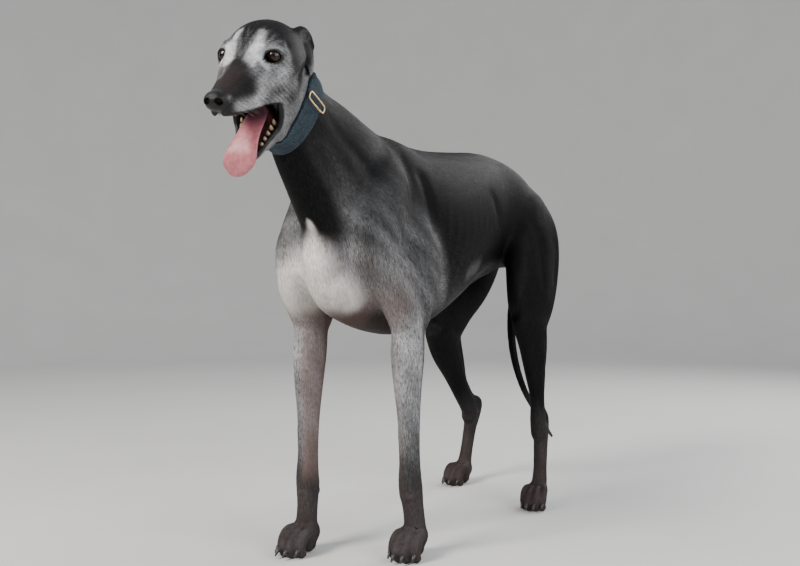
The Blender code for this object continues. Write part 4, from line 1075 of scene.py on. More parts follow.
def face_grey(points):
    """How pale the coat of the head is, from 0 to 1."""
    head = in_head(points)
    x, y, z = np.abs(head[:, 0]), head[:, 1], head[:, 2]
    near = np.stack([x, y, z], 1)

    def along(line, outer, inner):
        return ramp(line_distance(near, line), outer, inner)

    grey = 0.2 + 0.1 * np.sin(near @ (410.0, 290.0, 350.0)) * np.sin(
        near @ (-230.0, 370.0, 510.0) + 2.0
    )
    grey += 0.2 * along(
        [(0.034, -0.02, -0.03), (0.026, -0.05, -0.048), (0.018, -0.075, -0.052)], 0.022, 0.004,
    )
    grey += 0.14 * along([(0.04, 0.0, -0.02), (0.046, 0.02, -0.022)], 0.016, 0.004)
    grey -= 0.08 * along([(0.04, 0.01, -0.046), (0.046, 0.034, -0.06)], 0.016, 0.004)
    grey -= 0.12 * ramp(z, 0.006, 0.022) * ramp(y, -0.02, 0.02)
    grey -= 0.11 * ramp(x, 0.014, 0.004) * ramp(z, -0.02, 0.0)
    grey *= 1 - 0.95 * ramp(y, 0.012, 0.032) * ramp(z, -0.042, -0.012)
    grey *= 1 - 0.94 * ramp(y, 0.038, 0.058) * ramp(z, -0.092, -0.056)
    grey *= 1 - 0.94 * ramp(y, 0.08, 0.098)
    stripe = along(EYE_STRIPE[1:3], 0.0145, 0.0045)
    tip = 0.75 * along(EYE_STRIPE[2:], 0.0105, 0.001)
    inner = 0.8 * along([(0.029, -0.015, -0.014), (0.026, -0.016, 0.002)], 0.013, 0.004)
    brow = 0.32 * along(
        [(0.028, -0.009, 0.011), (0.036, -0.002, 0.013), (0.043, 0.008, 0.009)], 0.008, 0.002,
    )
    grey = np.maximum.reduce([grey, 0.95 * stripe, tip, inner, brow])
    top = ramp(y, -0.028, -0.052) * ramp(z, -0.054, -0.036)
    bridge = along([(0.0, -0.034, -0.002), (0.004, -0.06, -0.014)], 0.028, 0.012)
    dark = np.maximum(top, bridge * ramp(y, -0.018, -0.038))
    far = ramp(line_distance(head, [(-x, y, z) for x, y, z in EYE_STRIPE[:2]]), 0.013, 0.005)
    dark *= 1 - 0.9 * far
    lip = 0.42 * ramp(
        y, -0.015, -0.04,
    ) * ramp(y, -0.092, -0.07) * ramp(z, -0.04, -0.052) * ramp(x, 0.006, 0.012)
    front = ramp(y, -0.074, -0.096)
    grey = np.maximum.reduce(
        [grey * (1 - 0.93 * np.maximum(dark, front)), lip, np.full(len(points), 0.012)]
    )
    jaw = ramp(in_jaw(points)[:, 2], -0.05, -0.07)
    return grey * (1 - jaw) + jaw * 0.26 * (1 - 0.8 * front)


def inside_lip(points, line, aim):
    """How far points lie past a lip's line towards a place in the mouth, in metres."""
    best = np.full(len(points), np.inf)
    past = np.zeros(len(points))
    near = points * (1, 1, 1)
    near[:, 0] = np.abs(near[:, 0])
    for x, y, z in line:
        step = near - (x, y, z)
        reach = np.linalg.norm(step, axis=1)
        way = np.array(aim(x, y, z)) - (x, y, z)
        closer = reach < best
        past[closer] = (step[closer] @ way) / np.linalg.norm(way)
        best[closer] = reach[closer]
    return past


def mouth_depth(points):
    """How far points lie inside the edges of both lips, in metres, and below 0 on the coat."""
    head, jaw = in_head(points), in_jaw(points)
    upper = eased([row[:3] for row in UPPER_LIP], 6)
    lower = eased([row[:3] for row in LOWER_LIP], 6)
    under = inside_lip(head, upper, lambda x, y, z: (0.0, y, -0.072))
    over = inside_lip(jaw, lower, lambda x, y, z: (0.0, min(y, -0.035), -0.058))
    deep = np.minimum(under - 0.0018, over - 0.0012)
    deep = np.minimum(deep, (-0.046 - head[:, 2]) * 2)
    deep = np.minimum(deep, (jaw[:, 2] - np.interp(jaw[:, 1], *JAW_MIDDLE)) * 2)
    deep = np.minimum(deep, 0.04 - head[:, 1])
    return np.minimum(deep, head[:, 1] + 0.101)


def mouth_share(points):
    """1 on the palate and gums and 0 on the coat."""
    return ramp(mouth_depth(points), 0.0, 0.0012)


def lip_share(points):
    """1 on the dark edges of the lips."""
    deep = mouth_depth(points)
    edge = ramp(deep, -0.004, -0.0016) * ramp(deep, 0.0065, 0.003)
    return edge * ramp(in_head(points)[:, 2], -0.04, -0.047)


def nose_share(points):
    """1 on the nose leather."""
    local = (in_head(points) - NOSE_AT) / NOSE_RADII
    return ramp(np.linalg.norm(local, axis=1), 1.22, 1.1) * ramp(in_head(points)[:, 1], -0.083, -0.089)


def rim_share(points):
    """1 on the dark rims of the eyelids."""
    best = np.zeros(len(points))
    wide, high = EYE_OPENING
    for s in (1, -1):
        frame = np.array((head_matrix() @ eye_matrix(s)).inverted())
        local = points @ frame[:3, :3].T + frame[:3, 3]
        reach = np.hypot(local[:, 0] / (wide + 0.0024), local[:, 1] / (high + 0.0022))
        best = np.maximum(best, ramp(reach, 1.12, 0.95) * (local[:, 2] > 0))
    return best


def marks(points):
    """Columns for the shader: share of pale hairs, whiteness, bare pink and bare dark skin."""
    ahead = ramp(before_collar(points), -0.006, 0.006)
    grey = body_grey(points) * (1 - ahead) + face_grey(points) * ahead
    wave = np.sin(points @ (61.0, 43.0, 29.0)) * np.sin(points @ (-37.0, 71.0, 53.0))
    grey = np.clip(grey * (1 + 0.3 * wave), 0, 1)
    white = blaze_share(points) * (1 - ahead)
    mouth = mouth_share(points) * ahead
    dark = np.maximum.reduce([nose_share(points), rim_share(points), lip_share(points)]) * ahead
    cup = ear_share(points)
    return np.stack([np.maximum(grey, 0.14 * cup), white, np.maximum(mouth, 0), np.maximum(dark, 0)], 1)


def ear_share(points):
    """1 in the cups of the ears."""
    head = in_head(points)
    best = np.zeros(len(points))
    for s in (1, -1):
        at = np.array(EAR_CUP_AT) * (s, 1, 1) + EAR_SHIFT[s]
        reach = np.linalg.norm((head - at) / (0.009, 0.019, 0.012), axis=1)
        best = np.maximum(best, ramp(reach, 1.25, 0.2))
    return best


def mixed_rows(start, steps):
    """Rows of a start value, into which each step's value is mixed by its share."""
    out = np.tile(start, (len(steps[0][1]), 1))
    for value, share in steps:
        out = out * (1 - share[:, None]) + np.array(value) * share[:, None]
    return out


def lie(points):
    """The way the hair lies, before it is laid flat on the skin."""
    near = measured_from_feet(points)
    y, z = near[:, 1], near[:, 2]
    tail = [row[:3] for row in TAIL_PATH]
    frame = np.array(head_matrix())[:3, :3]
    ahead = ramp(before_collar(points), 0.0, 0.02)
    cheek = ramp(in_head(points)[:, 2], -0.015, -0.04)
    return mixed_rows((0.0, 0.95, -0.3), [
        ((-0.15, 0.7, -0.7), ramp(y, 0.0, -0.08) * ramp(z, 0.58, 0.64)),
        ((0.0, 0.35, -0.94), ramp(y, 0.14, 0.02) * ramp(z, 0.64, 0.52)),
        ((0.0, 0.28, -0.96), ramp(y, 0.4, 0.52) * ramp(z, 0.7, 0.56)),
        ((0.0, 0.15, -0.99), ramp(z, 0.42, 0.34)),
        ((0.0, 0.05, -1.0), ramp(line_distance(near, tail), 0.035, 0.022) * ramp(y, 0.645, 0.665)),
        (frame @ (0.0, 0.98, -0.12), ahead),
        (frame @ (0.0, 0.8, -0.6), ahead * cheek),
    ])


def hair_size(points):
    """Columns of length, width and lift of the hair at each point."""
    near = measured_from_feet(points)
    y, z = near[:, 1], near[:, 2]
    ahead = ramp(before_collar(points), 0.0, 0.03)
    return mixed_rows((0.0088, 0.0007, 0.0005), [
        ((0.0066, 0.00065, 0.0004), ramp(z, 0.4, 0.3)),
        ((0.0042, 0.0006, 0.0003), ramp(z, 0.085, 0.06)),
        ((0.012, 0.00075, 0.0009), ramp(y, 0.585, 0.625) * ramp(z, 0.36, 0.44)),
        ((0.0046, 0.0005, 0.0003), ahead),
        ((0.0028, 0.00042, 0.0002), ahead * ramp(in_head(points)[:, 1], -0.02, -0.06)),
    ])


def hair_roots(skin, count, rng):
    """Places on the skin where hairs grow: (points, normals, map places)."""
    mesh = skin.data
    mesh.calc_loop_triangles()
    corners = values_of(mesh.loop_triangles, "vertices", 3, np.int64)
    loops = values_of(mesh.loop_triangles, "loops", 3, np.int64)
    points, normals = coordinates(mesh), vertex_normals(mesh)
    places = values_of(mesh.uv_layers[BAKE_MAP].data, "uv", 2)
    a, b, c = (points[corners[:, k]] for k in range(3))
    middle = (a + b + c) / 3
    size = hair_size(middle)
    bare = marks(middle)[:, 2:].max(1)
    under_collar = np.abs(before_collar(middle)) < 0.5 * COLLAR_WIDTH - 0.002
    share = np.linalg.norm(np.cross(b - a, c - a), axis=1) / (size[:, 0] * size[:, 1])
    share *= (bare < 0.25) & ~under_collar & (middle[:, 2] > 0.004)
    pick = rng.choice(len(share), count, p=share / share.sum())
    weights = rng.dirichlet((1, 1, 1), count)
    return tuple(
        np.einsum("nk,nkd->nd", weights, table[index[pick]])
        for table, index in ((points, corners), (normals, corners), (places, loops))
    )


def unit(vectors):
    """The vectors at a length of 1."""
    return vectors / np.maximum(np.linalg.norm(vectors, axis=1), 1e-9)[:, None]


def hair_tips(tree, roots, way, length, lift):
    """Where the hairs end on the skin. It shortens those that would stand off where the skin bends."""
    tips = np.empty_like(roots)
    bent = np.arange(len(roots))
    for _ in range(2):
        reach = roots[bent] + way[bent] * length[bent][:, None]
        for k, point in zip(bent, reach):
            near, normal, _, _ = tree.find_nearest(Vector(point))
            tips[k] = near + normal * lift[k]
        gap = np.linalg.norm(tips[bent] - reach, axis=1)
        bent, gap = bent[gap > HAIR_GAP], gap[gap > HAIR_GAP]
        length[bent] *= np.maximum(0.3, np.sqrt(0.6 * HAIR_GAP / gap))
    return tips


def coat_parts(points):
    """Which of the coat's parts each point lies in, and on which side, above 0 for the left."""
    near = measured_from_feet(points)
    y, z = near[:, 1], near[:, 2]
    part = np.full(len(points), COAT_PARTS.index("trunk"))
    part[y > 0.42] = COAT_PARTS.index("hindquarter")
    part[(y > 0.3) & (z < 0.5)] = COAT_PARTS.index("hindleg")
    part[(z < 0.44) & (y < 0.24)] = COAT_PARTS.index("foreleg")
    part[(y < 0.06) & (z > 0.44)] = COAT_PARTS.index("neck_and_shoulder")
    head = before_collar(points) > 0
    part[head] = COAT_PARTS.index("head")
    return part, np.where(head, in_head(points)[:, 0], near[:, 0])


def hair_piece(name, corners, facing, across, marked, tints, places):
    """A piece of the coat, from the left, right, ridge and tip of each of its hairs."""
    count = len(corners)
    faces = (np.arange(count)[:, None, None] * 4 + HAIR_FACES).reshape(-1, 3)
    obj = quick_mesh("coat_" + name, corners.reshape(-1, 3), faces)
    lit = [unit(facing + across * lean) for lean in HAIR_LEANS]
    obj.data.polygons.foreach_set("use_smooth", np.ones(len(faces), bool))
    obj.data.normals_split_custom_set_from_vertices(np.stack(lit, 1).reshape(-1, 3))
    paint(obj, np.repeat(marked, 4, axis=0), np.repeat(tints, 4))
    spots = (places[:, None] + np.array(HAIR_MAP) * HAIR_PATCH).reshape(-1, 2)
    layer = obj.data.uv_layers.new(name=BAKE_MAP)
    layer.data.foreach_set("uv", spots[faces.ravel()].ravel())
    return obj


def hair_pieces(skin, tree):
    """The short coat as thin four-sided hairs that follow the skin, in a few pieces by part of the body."""
    rng = np.random.default_rng(11)
    roots, normals, places = hair_roots(skin, HAIRS, rng)
    normals = unit(normals)
    way = lie(roots) + rng.normal(0, 0.13, roots.shape)
    way = unit(way - normals * (way * normals).sum(1)[:, None])
    across = np.cross(normals, way)
    size = hair_size(roots) * rng.uniform(0.75, 1.25, (len(roots), 1))
    length, width, lift = size.T.copy()
    tips = hair_tips(tree, roots, way, length, lift)
    left = roots + across * (width / 2)[:, None] - HAIR_SINK * normals
    right = roots - across * (width / 2)[:, None] - HAIR_SINK * normals
    ridge = roots + way * (length * 0.25)[:, None] + normals * (0.00007 + 0.2 * lift)[:, None]
    top = unit(np.cross(tips - left, tips - right))
    top *= np.sign((top * normals).sum(1))[:, None]
    facing = unit(0.55 * top + 0.45 * normals)
    marked = marks(roots)
    marked[:, 0] = np.clip(marked[:, 0] * rng.uniform(0.0, 2.0, len(roots)) ** 1.5 / 1.13, 0, 1)
    marked[:, 1] *= rng.uniform(0.45, 1.0, len(roots))
    corners = np.stack([left, right, ridge, tips], 1)
    tables = (corners, facing, across, marked, tint_share(roots), places)
    part, sides = coat_parts(roots)
    out = []
    for name, number, side in ((n, k, s) for k, n in enumerate(COAT_PARTS) for s in (1, -1)):
        keep = np.flatnonzero((part == number) & (sides * side > 0))
        out.append(hair_piece(name + "_" + SIDES[side], *(table[keep] for table in tables)))
    return out


def quick_mesh(name, points, faces):
    """A new object from an array of points and one of triangles."""
    mesh = bpy.data.meshes.new(name)
    mesh.vertices.add(len(points))
    mesh.vertices.foreach_set("co", points.ravel())
    mesh.loops.add(faces.size)
    mesh.loops.foreach_set("vertex_index", faces.ravel().astype(np.int32))
    mesh.polygons.add(len(faces))
    mesh.polygons.foreach_set("loop_start", np.arange(0, faces.size, faces.shape[1], dtype=np.int32))
    mesh.update(calc_edges=True)
    obj = bpy.data.objects.new(name, mesh)
    bpy.context.scene.collection.objects.link(obj)
    return obj


def vertex_normals(mesh):
    """The directions in which a mesh's vertices face."""
    return values_of(mesh.vertices, "normal", 3)


def paint(obj, values, tints):
    """Keeps the marks and the tint of each vertex for the shader."""
    kept = obj.data.attributes.new("Tint", "FLOAT", "POINT")
    kept.data.foreach_set("value", np.ascontiguousarray(tints, np.float32))
    layer = obj.data.color_attributes.new("Marks", "FLOAT_COLOR", "POINT")
    layer.data.foreach_set("color", np.ascontiguousarray(values, np.float32).ravel())


def unwrapped(obj):
    """Lays the skin's own shape out flat as its map."""
    obj.data.uv_layers.new(name=BAKE_MAP)
    bpy.ops.object.select_all(action="DESELECT")
    obj.select_set(True)
    bpy.context.view_layer.objects.active = obj
    bpy.ops.object.mode_set(mode="EDIT")
    bpy.ops.mesh.select_all(action="SELECT")
    bpy.ops.uv.smart_project(angle_limit=math.radians(75), island_margin=0.001)
    bpy.ops.object.mode_set(mode="OBJECT")


def whiskers():
    """The long stiff hairs of the lips, chin, cheeks and brows."""
    rng = np.random.default_rng(5)
    shapes = []
    for s in (1, -1):
        for row, height in enumerate((-0.044, -0.049, -0.054)):
            for k in range(4):
                root = np.array((0.0165 + 0.0012 * k, -0.092 + 0.01 * k + 0.003 * row, height))
                root *= (s, 1, 1)
                out = np.array((0.75 * s, 0.15 + 0.1 * k, -0.35)) + rng.normal(0, 0.08, 3)
                shapes.append(moved(whisker(root, out, 0.02 + 0.004 * k), head_matrix()))
        for k in range(3):
            root = np.array((0.022 * s + 0.004 * s * k, -0.012 + 0.006 * k, 0.014))
            shapes.append(moved(whisker(root, (0.3 * s, -0.45, 0.85), 0.013), head_matrix()))
        for k in range(3):
            root = np.array((0.008 * s, -0.06 + 0.012 * k, -0.0855))
            shapes.append(moved(whisker(root, (0.2 * s, -0.5, -0.75), 0.014), jaw_matrix()))
    return mesh_object("whiskers", shapes)


def whisker(root, way, length):
    """A thin tapered hair that bends down a little."""
    way = np.array(way, float) / np.linalg.norm(way)
    rows = []
    for t in (0.0, 0.35, 0.7, 1.0):
        point = np.array(root) + way * length * (t - 0.06) - np.array((0, 0, 0.12 * length)) * t * t
        rows.append((*point, 0.00022 * (1 - 0.8 * t)))
    return spike(rows, size=4)


def cube(size):
    """A cube about the origin."""
    mesh = bmesh.new()
    bmesh.ops.create_cube(mesh, size=size)
    out = np.array([v.co for v in mesh.verts]), [tuple(v.index for v in f.verts) for f in mesh.faces]
    mesh.free()
    return out


def eye(side):
    """An eyeball with the bulge of its cornea, which looks along +Z of the object."""
    points, faces = blob((0, 0, 0), (EYE_RADIUS,) * 3, size=64)
    reach = np.hypot(points[:, 0], points[:, 1]) / CORNEA_RADIUS
    bulge = CORNEA_LIFT * np.clip(1 - reach**2, 0, 1) ** 1.5 * (points[:, 2] > 0)
    points[:, 2] += bulge
    obj = mesh_object("eyeball_" + SIDES[side], [(points, faces)])
    obj.matrix_world = head_matrix() @ eye_matrix(side)
    return obj


def teeth_piece():
    """Canines and the cheek teeth behind them, sunk in the gums."""
    upper = teeth([(0.0115, -0.076, -0.056)], -0.009, 0.0026, 12)
    lower = teeth([(0.01, -0.064, -0.072)], 0.011, 0.0023, 12)
    for k in range(5):
        root = (0.017 + 0.0018 * k, -0.044 + 0.0095 * k, -0.073 + 0.0009 * k)
        lower += teeth([root], 0.0042 + 0.0008 * k, 0.0033, 12)
    shapes = [moved(t, head_matrix()) for t in upper] + [moved(t, jaw_matrix()) for t in lower]
    return mesh_object("teeth", shapes)


def claw_pieces():
    """Finer claws over those of the solids."""
    paws = [(side, kind) for side in (1, -1) for kind in ("fore", "hind")]
    return mesh_object("claws", [claw for side, kind in paws for claw in claws(side, kind, 12)])


def collar_radii(tree, steps, rows):
    """The neck's reach round the collar's axis, for rings from one edge of the collar to the other."""
    radii = np.zeros((rows, steps))
    for row in range(rows):
        for k in range(steps):
            turn = k * 2 * math.pi / steps
            start = collar_point(row / (rows - 1), turn, 0.0)
            radii[row, k] = (tree.ray_cast(start, collar_ray(turn), 0.16)[0] - start).length
    return radii


def collar_axes():
    """The collar's axis and the two directions across it."""
    axis = Vector(COLLAR_AXIS).normalized()
    across = axis.cross(Vector((0, 0, 1))).normalized()
    return axis, across, across.cross(axis)


def collar_ray(turn):
    """The direction out from the collar's axis at an angle round it."""
    _, across, up = collar_axes()
    return across * math.cos(turn) + up * math.sin(turn)


def collar_point(share, turn, reach):
    """A point at a share of the collar's width, at an angle round its axis and a reach from it."""
    return place(*COLLAR_AT) + collar_axes()[0] * (share - 0.5) * COLLAR_WIDTH + collar_ray(turn) * reach


def tube_faces(rings, size):
    """The faces of a closed band of rings, each with the same number of points."""
    a, b = np.meshgrid(np.arange(rings), np.arange(size), indexing="ij")
    c, d = (a + 1) % rings, (b + 1) % size
    return np.stack([a * size + b, a * size + d, c * size + d, c * size + b], -1).reshape(-1, 4)


def band(name, radii, low, high, base, thick, steps=192):
    """A woven band round the neck between two shares of the collar's width, with rounded edges."""
    section = []
    count = 14
    for k in range(count + 1):
        t = k / count
        crown = thick * min(1.0, (min(t, 1 - t) * (high - low) * COLLAR_WIDTH / (0.6 * thick)) ** 0.5)
        section.append((low + (high - low) * t, base + crown))
    section += [(high - (high - low) * k / 4, base) for k in range(1, 4)]
    points = np.array([
        collar_point(share, k * 2 * math.pi / steps, radius_at(radii, share, k / steps) + lift)
        for k in range(steps) for share, lift in section
    ])
    size = len(section)
    obj = mesh_object(name, [(points, [tuple(f) for f in tube_faces(steps, size)])])
    layer = obj.data.uv_layers.new(name="Weave")
    for polygon in obj.data.polygons:
        corners = [divmod(obj.data.loops[loop].vertex_index, size) for loop in polygon.loop_indices]
        last = any(turn == steps - 1 for turn, _ in corners)
        for loop, (turn, across) in zip(polygon.loop_indices, corners):
            turn = steps if last and turn == 0 else turn
            layer.data[loop].uv = (turn / steps * COLLAR_GIRTH, section[across][0] * COLLAR_WIDTH)
    return obj


def radius_at(radii, share, turn):
    """The smoothed reach of the collar at a share of its width and of a turn."""
    rows, steps = radii.shape
    row = min(max(share, 0), 1) * (rows - 1)
    low = min(int(row), rows - 2)
    column = turn * steps
    left = int(column) % steps
    right = (left + 1) % steps
    a = radii[low, left] * (1 - column % 1) + radii[low, right] * (column % 1)
    b = radii[low + 1, left] * (1 - column % 1) + radii[low + 1, right] * (column % 1)
    return a * (1 - (row - low)) + b * (row - low)


def collar_surface(tree):
    """Even reaches of the collar over the neck, a straight taper from edge to edge at each turn."""
    radii = collar_radii(tree, 96, 7)
    edges = np.stack([radii[:4].max(0), radii[3:].max(0)])
    for _ in range(3):
        edges = np.maximum(edges, (np.roll(edges, 1, 1) + np.roll(edges, -1, 1)) / 2)
    for _ in range(4):
        edges = np.maximum(edges, edges * 0.5 + 0.25 * (np.roll(edges, 1, 1) + np.roll(edges, -1, 1)))
    return edges


def stitches(radii, share, base, pieces):
    """A row of stitches along the band."""
    shapes = []
    for k in range(pieces):
        rows = []
        for step in (-0.3, 0.0, 0.3):
            turn = (k + step) / pieces
            reach = radius_at(radii, share, turn % 1.0) + base + (0.00025 if step == 0.0 else -0.0001)
            rows.append((*collar_point(share, turn * 2 * math.pi, reach), 0.00042))
        shapes.append(spike(rows, size=6))
    return shapes


def ring_piece(radii):
    """The rectangle of wire that lies across the collar."""
    axis = collar_axes()[0]
    corners = []
    count, size = 64, 12
    for a in range(count):
        u, v = math.cos(a * 2 * math.pi / count), math.sin(a * 2 * math.pi / count)
        u, v = math.copysign(abs(u) ** 0.45, u), math.copysign(abs(v) ** 0.45, v)
        share = 0.5 + RING_HALF * v / COLLAR_WIDTH
        turn = (RING_STEP + RING_REACH * u) / 48
        reach = radius_at(radii, share, turn % 1.0) + COLLAR_LIFT + COLLAR_THICK + RING_WIRE + 0.001
        corners.append(collar_point(share, turn * 2 * math.pi, reach))
    points = []
    for a in range(count):
        run = (corners[(a + 1) % count] - corners[a - 1]).normalized()
        one = run.cross(axis.cross(run)).normalized()
        two = run.cross(one)
        for b in range(size):
            out = one * math.cos(b * math.pi / 6) + two * math.sin(b * math.pi / 6)
            points.append(corners[a] + out * RING_WIRE)
    return mesh_object("brass_ring", [(np.array(points), [tuple(f) for f in tube_faces(count, size)])])


def material(name):
    """A new material with its tree and its shader."""
    made = bpy.data.materials.new(name)
    made.use_nodes = True
    return made, made.node_tree, made.node_tree.nodes["Principled BSDF"]


def add(tree, kind, settings=(), **sockets):
    """A new node with its settings, each socket given a value or a link."""
    made = tree.nodes.new(kind)
    for key, value in dict(settings).items():
        setattr(made, key, value)
    for key, value in sockets.items():
        feed(tree, made.inputs[int(key[1:]) if key[0] == "i" and key[1:].isdigit() else key], value)
    return made


def feed(tree, socket, value):
    """Sets a socket or links it."""
    if isinstance(value, bpy.types.NodeSocket):
        tree.links.new(value, socket)
    else:
        socket.default_value = value


def maths(tree, operation, a, b=0.0, clamp=False):
    """A sum or other operation on one or two values."""
    made = add(tree, "ShaderNodeMath", {"operation": operation, "use_clamp": clamp}, i0=a, i1=b)
    return made.outputs[0]


def mixed(tree, share, a, b):
    """Two colours mixed."""
    return add(tree, "ShaderNodeMix", {"data_type": "RGBA"}, i0=share, i6=a, i7=b).outputs[2]


def between_values(tree, value, low, high, start=0.0, end=1.0):
    """A value taken from one range to another."""
    soft = {"interpolation_type": "SMOOTHSTEP"}
    return add(tree, "ShaderNodeMapRange", soft, i0=value, i1=low, i2=high, i3=start, i4=end).outputs[0]


def noise(tree, scale, detail, at):
    """A soft random pattern."""
    return add(tree, "ShaderNodeTexNoise", Scale=scale, Detail=detail, Vector=at).outputs["Fac"]


def here(tree, kind="Object"):
    """The place on the piece."""
    return tree.nodes.new("ShaderNodeTexCoord").outputs[kind]


def marks_of(tree):
    """The four marks that the piece keeps for each vertex."""
    kept = add(tree, "ShaderNodeAttribute", {"attribute_name": "Marks"})
    parts = add(tree, "ShaderNodeSeparateColor", Color=kept.outputs["Color"])
    return *parts.outputs, kept.outputs["Alpha"]


def finish(tree, shader, colour, **values):
    """Gives the shader its colour and its other values, with _ for a space in a socket's name."""
    feed(tree, shader.inputs["Base Color"], colour)
    for name, value in values.items():
        feed(tree, shader.inputs[name.replace("_", " ")], value)


def mottled(name, scale, detail, low, high, one, other, roughness):
    """A material whose colour wavers between two."""
    made, tree, shader = material(name)
    share = between_values(tree, noise(tree, scale, detail, here(tree)), low, high)
    finish(tree, shader, mixed(tree, share, one, other), Roughness=roughness)
    return made


def bump(tree, shader, height, strength, distance):
    """Gives the shader's surface a relief."""
    made = add(tree, "ShaderNodeBump", Strength=strength, Distance=distance, Height=height)
    tree.links.new(made.outputs["Normal"], shader.inputs["Normal"])


DARK_HAIR = (0.0028, 0.0026, 0.003, 1)
DARK_HAIR_WORN = (0.0065, 0.006, 0.0062, 1)
FLESH_TINT = (0.19, 0.115, 0.1, 1)
PALE_HAIR = (0.66, 0.65, 0.66, 1)
CHEST_WHITE = (0.8, 0.76, 0.73, 1)
MOUTH_PINK = (0.2, 0.055, 0.065, 1)
MOUTH_DARK = (0.035, 0.016, 0.02, 1)
LEATHER = (0.006, 0.0055, 0.006, 1)


def tinted(tree, colour):
    """A colour with the pink of the skin or the brown of the hair showing through."""
    kept = add(tree, "ShaderNodeAttribute", {"attribute_name": "Tint"})
    return mixed(tree, maths(tree, "MULTIPLY", kept.outputs["Fac"], 0.6), colour, FLESH_TINT)


def skin_material():
    """Salt-and-pepper coat, white chest, wet mouth and dark nose leather from the marks of the skin."""
    made, tree, shader = material("short_coat")
    grey, white, mouth, dark = marks_of(tree)
    at = here(tree)
    fine = noise(tree, 900.0, 1.0, at)
    patchy = noise(tree, 130.0, 2.0, at)
    salt = maths(tree, "ADD", maths(tree, "MULTIPLY", fine, 1.2), maths(tree, "MULTIPLY", patchy, 0.8))
    colour = mixed(tree, maths(tree, "MULTIPLY", grey, salt, True), DARK_HAIR, PALE_HAIR)
    colour = tinted(tree, mixed(tree, white, colour, CHEST_WHITE))
    wet = between_values(tree, noise(tree, 60.0, 2.0, at), 0.35, 0.65)
    colour = mixed(tree, mouth, colour, mixed(tree, wet, MOUTH_DARK, MOUTH_PINK))
    bare = maths(tree, "MAXIMUM", mouth, dark)
    finish(
        tree, shader, mixed(tree, dark, colour, LEATHER),
        Specular_IOR_Level=between_values(tree, bare, 0.0, 1.0, 0.06, 0.26),
        Roughness=between_values(tree, bare, 0.0, 1.0, 0.62, 0.3),
    )
    edges = add(tree, "ShaderNodeTexVoronoi", {"feature": "DISTANCE_TO_EDGE"}, Scale=620.0, Vector=at)
    pebble = maths(tree, "MULTIPLY", maths(tree, "MINIMUM", edges.outputs["Distance"], 0.3), dark)
    height = maths(tree, "ADD", maths(tree, "MULTIPLY", fine, 0.5), maths(tree, "MULTIPLY", pebble, 3.0))
    bump(tree, shader, height, 0.45, 0.0004)
    return made


def hair_material():
    """Each hair dark, pale or white as its marks say."""
    made, tree, shader = material("coat_hairs")
    pale, white, _, _ = marks_of(tree)
    patchy = between_values(tree, noise(tree, 90.0, 2.0, here(tree)), 0.3, 0.7)
    colour = mixed(tree, pale, mixed(tree, patchy, DARK_HAIR, DARK_HAIR_WORN), PALE_HAIR)
    colour = tinted(tree, mixed(tree, white, colour, CHEST_WHITE))
    finish(tree, shader, colour, Roughness=0.45, Specular_IOR_Level=0.13)
    return made


def eye_material():
    """A dark brown iris with its pupil, in a wet eyeball."""
    made, tree, shader = material("eyeball")
    at = here(tree)
    parts = add(tree, "ShaderNodeSeparateXYZ", Vector=at)
    x, y, z = parts.outputs
    reach = maths(
        tree, "SQRT", maths(tree, "ADD", maths(tree, "MULTIPLY", x, x), maths(tree, "MULTIPLY", y, y)),
    )
    around = maths(tree, "ARCTAN2", y, x)
    spokes = noise(
        tree, 9.0, 3.0,
        add(tree, "ShaderNodeCombineXYZ", X=around, Y=maths(tree, "MULTIPLY", reach, 120.0)).outputs[0],
    )
    brown = mixed(tree, spokes, (0.008, 0.0028, 0.0016, 1), (0.036, 0.0135, 0.006, 1))
    white = mixed(tree, noise(tree, 300.0, 2.0, at), (0.16, 0.11, 0.1, 1), (0.05, 0.03, 0.03, 1))
    colour = mixed(tree, between_values(tree, reach, 0.0033, 0.0039), (0.001, 0.001, 0.001, 1), brown)
    colour = mixed(tree, between_values(tree, reach, 0.0082, 0.0092), colour, (0.012, 0.006, 0.004, 1))
    colour = mixed(tree, between_values(tree, reach, 0.0098, 0.0104), colour, white)
    wet = {"Coat_Weight": 0.55, "Coat_Roughness": 0.02}
    finish(tree, shader, colour, Roughness=0.25, Specular_IOR_Level=0.08, **wet)
    return made


def tooth_material():
    """Yellowed enamel."""
    tints = (0.36, 0.3, 0.19, 1), (0.25, 0.18, 0.09, 1)
    return mottled("tooth_enamel", 260.0, 2.0, 0.35, 0.65, *tints, 0.22)


def claw_material():
    """Dark horn."""
    tints = (0.01, 0.009, 0.008, 1), (0.045, 0.036, 0.03, 1)
    return mottled("claw_horn", 420.0, 2.0, 0.35, 0.65, *tints, 0.35)


def tongue_material():
    """Wet pink flesh, with painted shade that darkens it towards the throat, where the mouth shades it."""
    made, tree, shader = material("tongue_flesh")
    at = here(tree)
    share = between_values(tree, noise(tree, 160.0, 3.0, at), 0.35, 0.65)
    pink = mixed(tree, share, (0.38, 0.11, 0.13, 1), (0.47, 0.155, 0.172, 1))
    run = add(tree, "ShaderNodeSeparateXYZ", Vector=at).outputs["Z"]
    # Painted shade: higher up, the tongue turns dark purple for the shade inside the mouth.
    deep = between_values(tree, run, 0.662, 0.694)
    flesh = {"Subsurface_Weight": 0.15, "Subsurface_Radius": (0.006, 0.002, 0.001), "Subsurface_Scale": 0.5}
    finish(tree, shader, mixed(tree, deep, pink, (0.11, 0.035, 0.055, 1)), Roughness=0.42, **flesh)
    cells = add(tree, "ShaderNodeTexVoronoi", Scale=900.0, Vector=at).outputs["Distance"]
    bump(tree, shader, cells, 0.5, 0.0003)
    return made


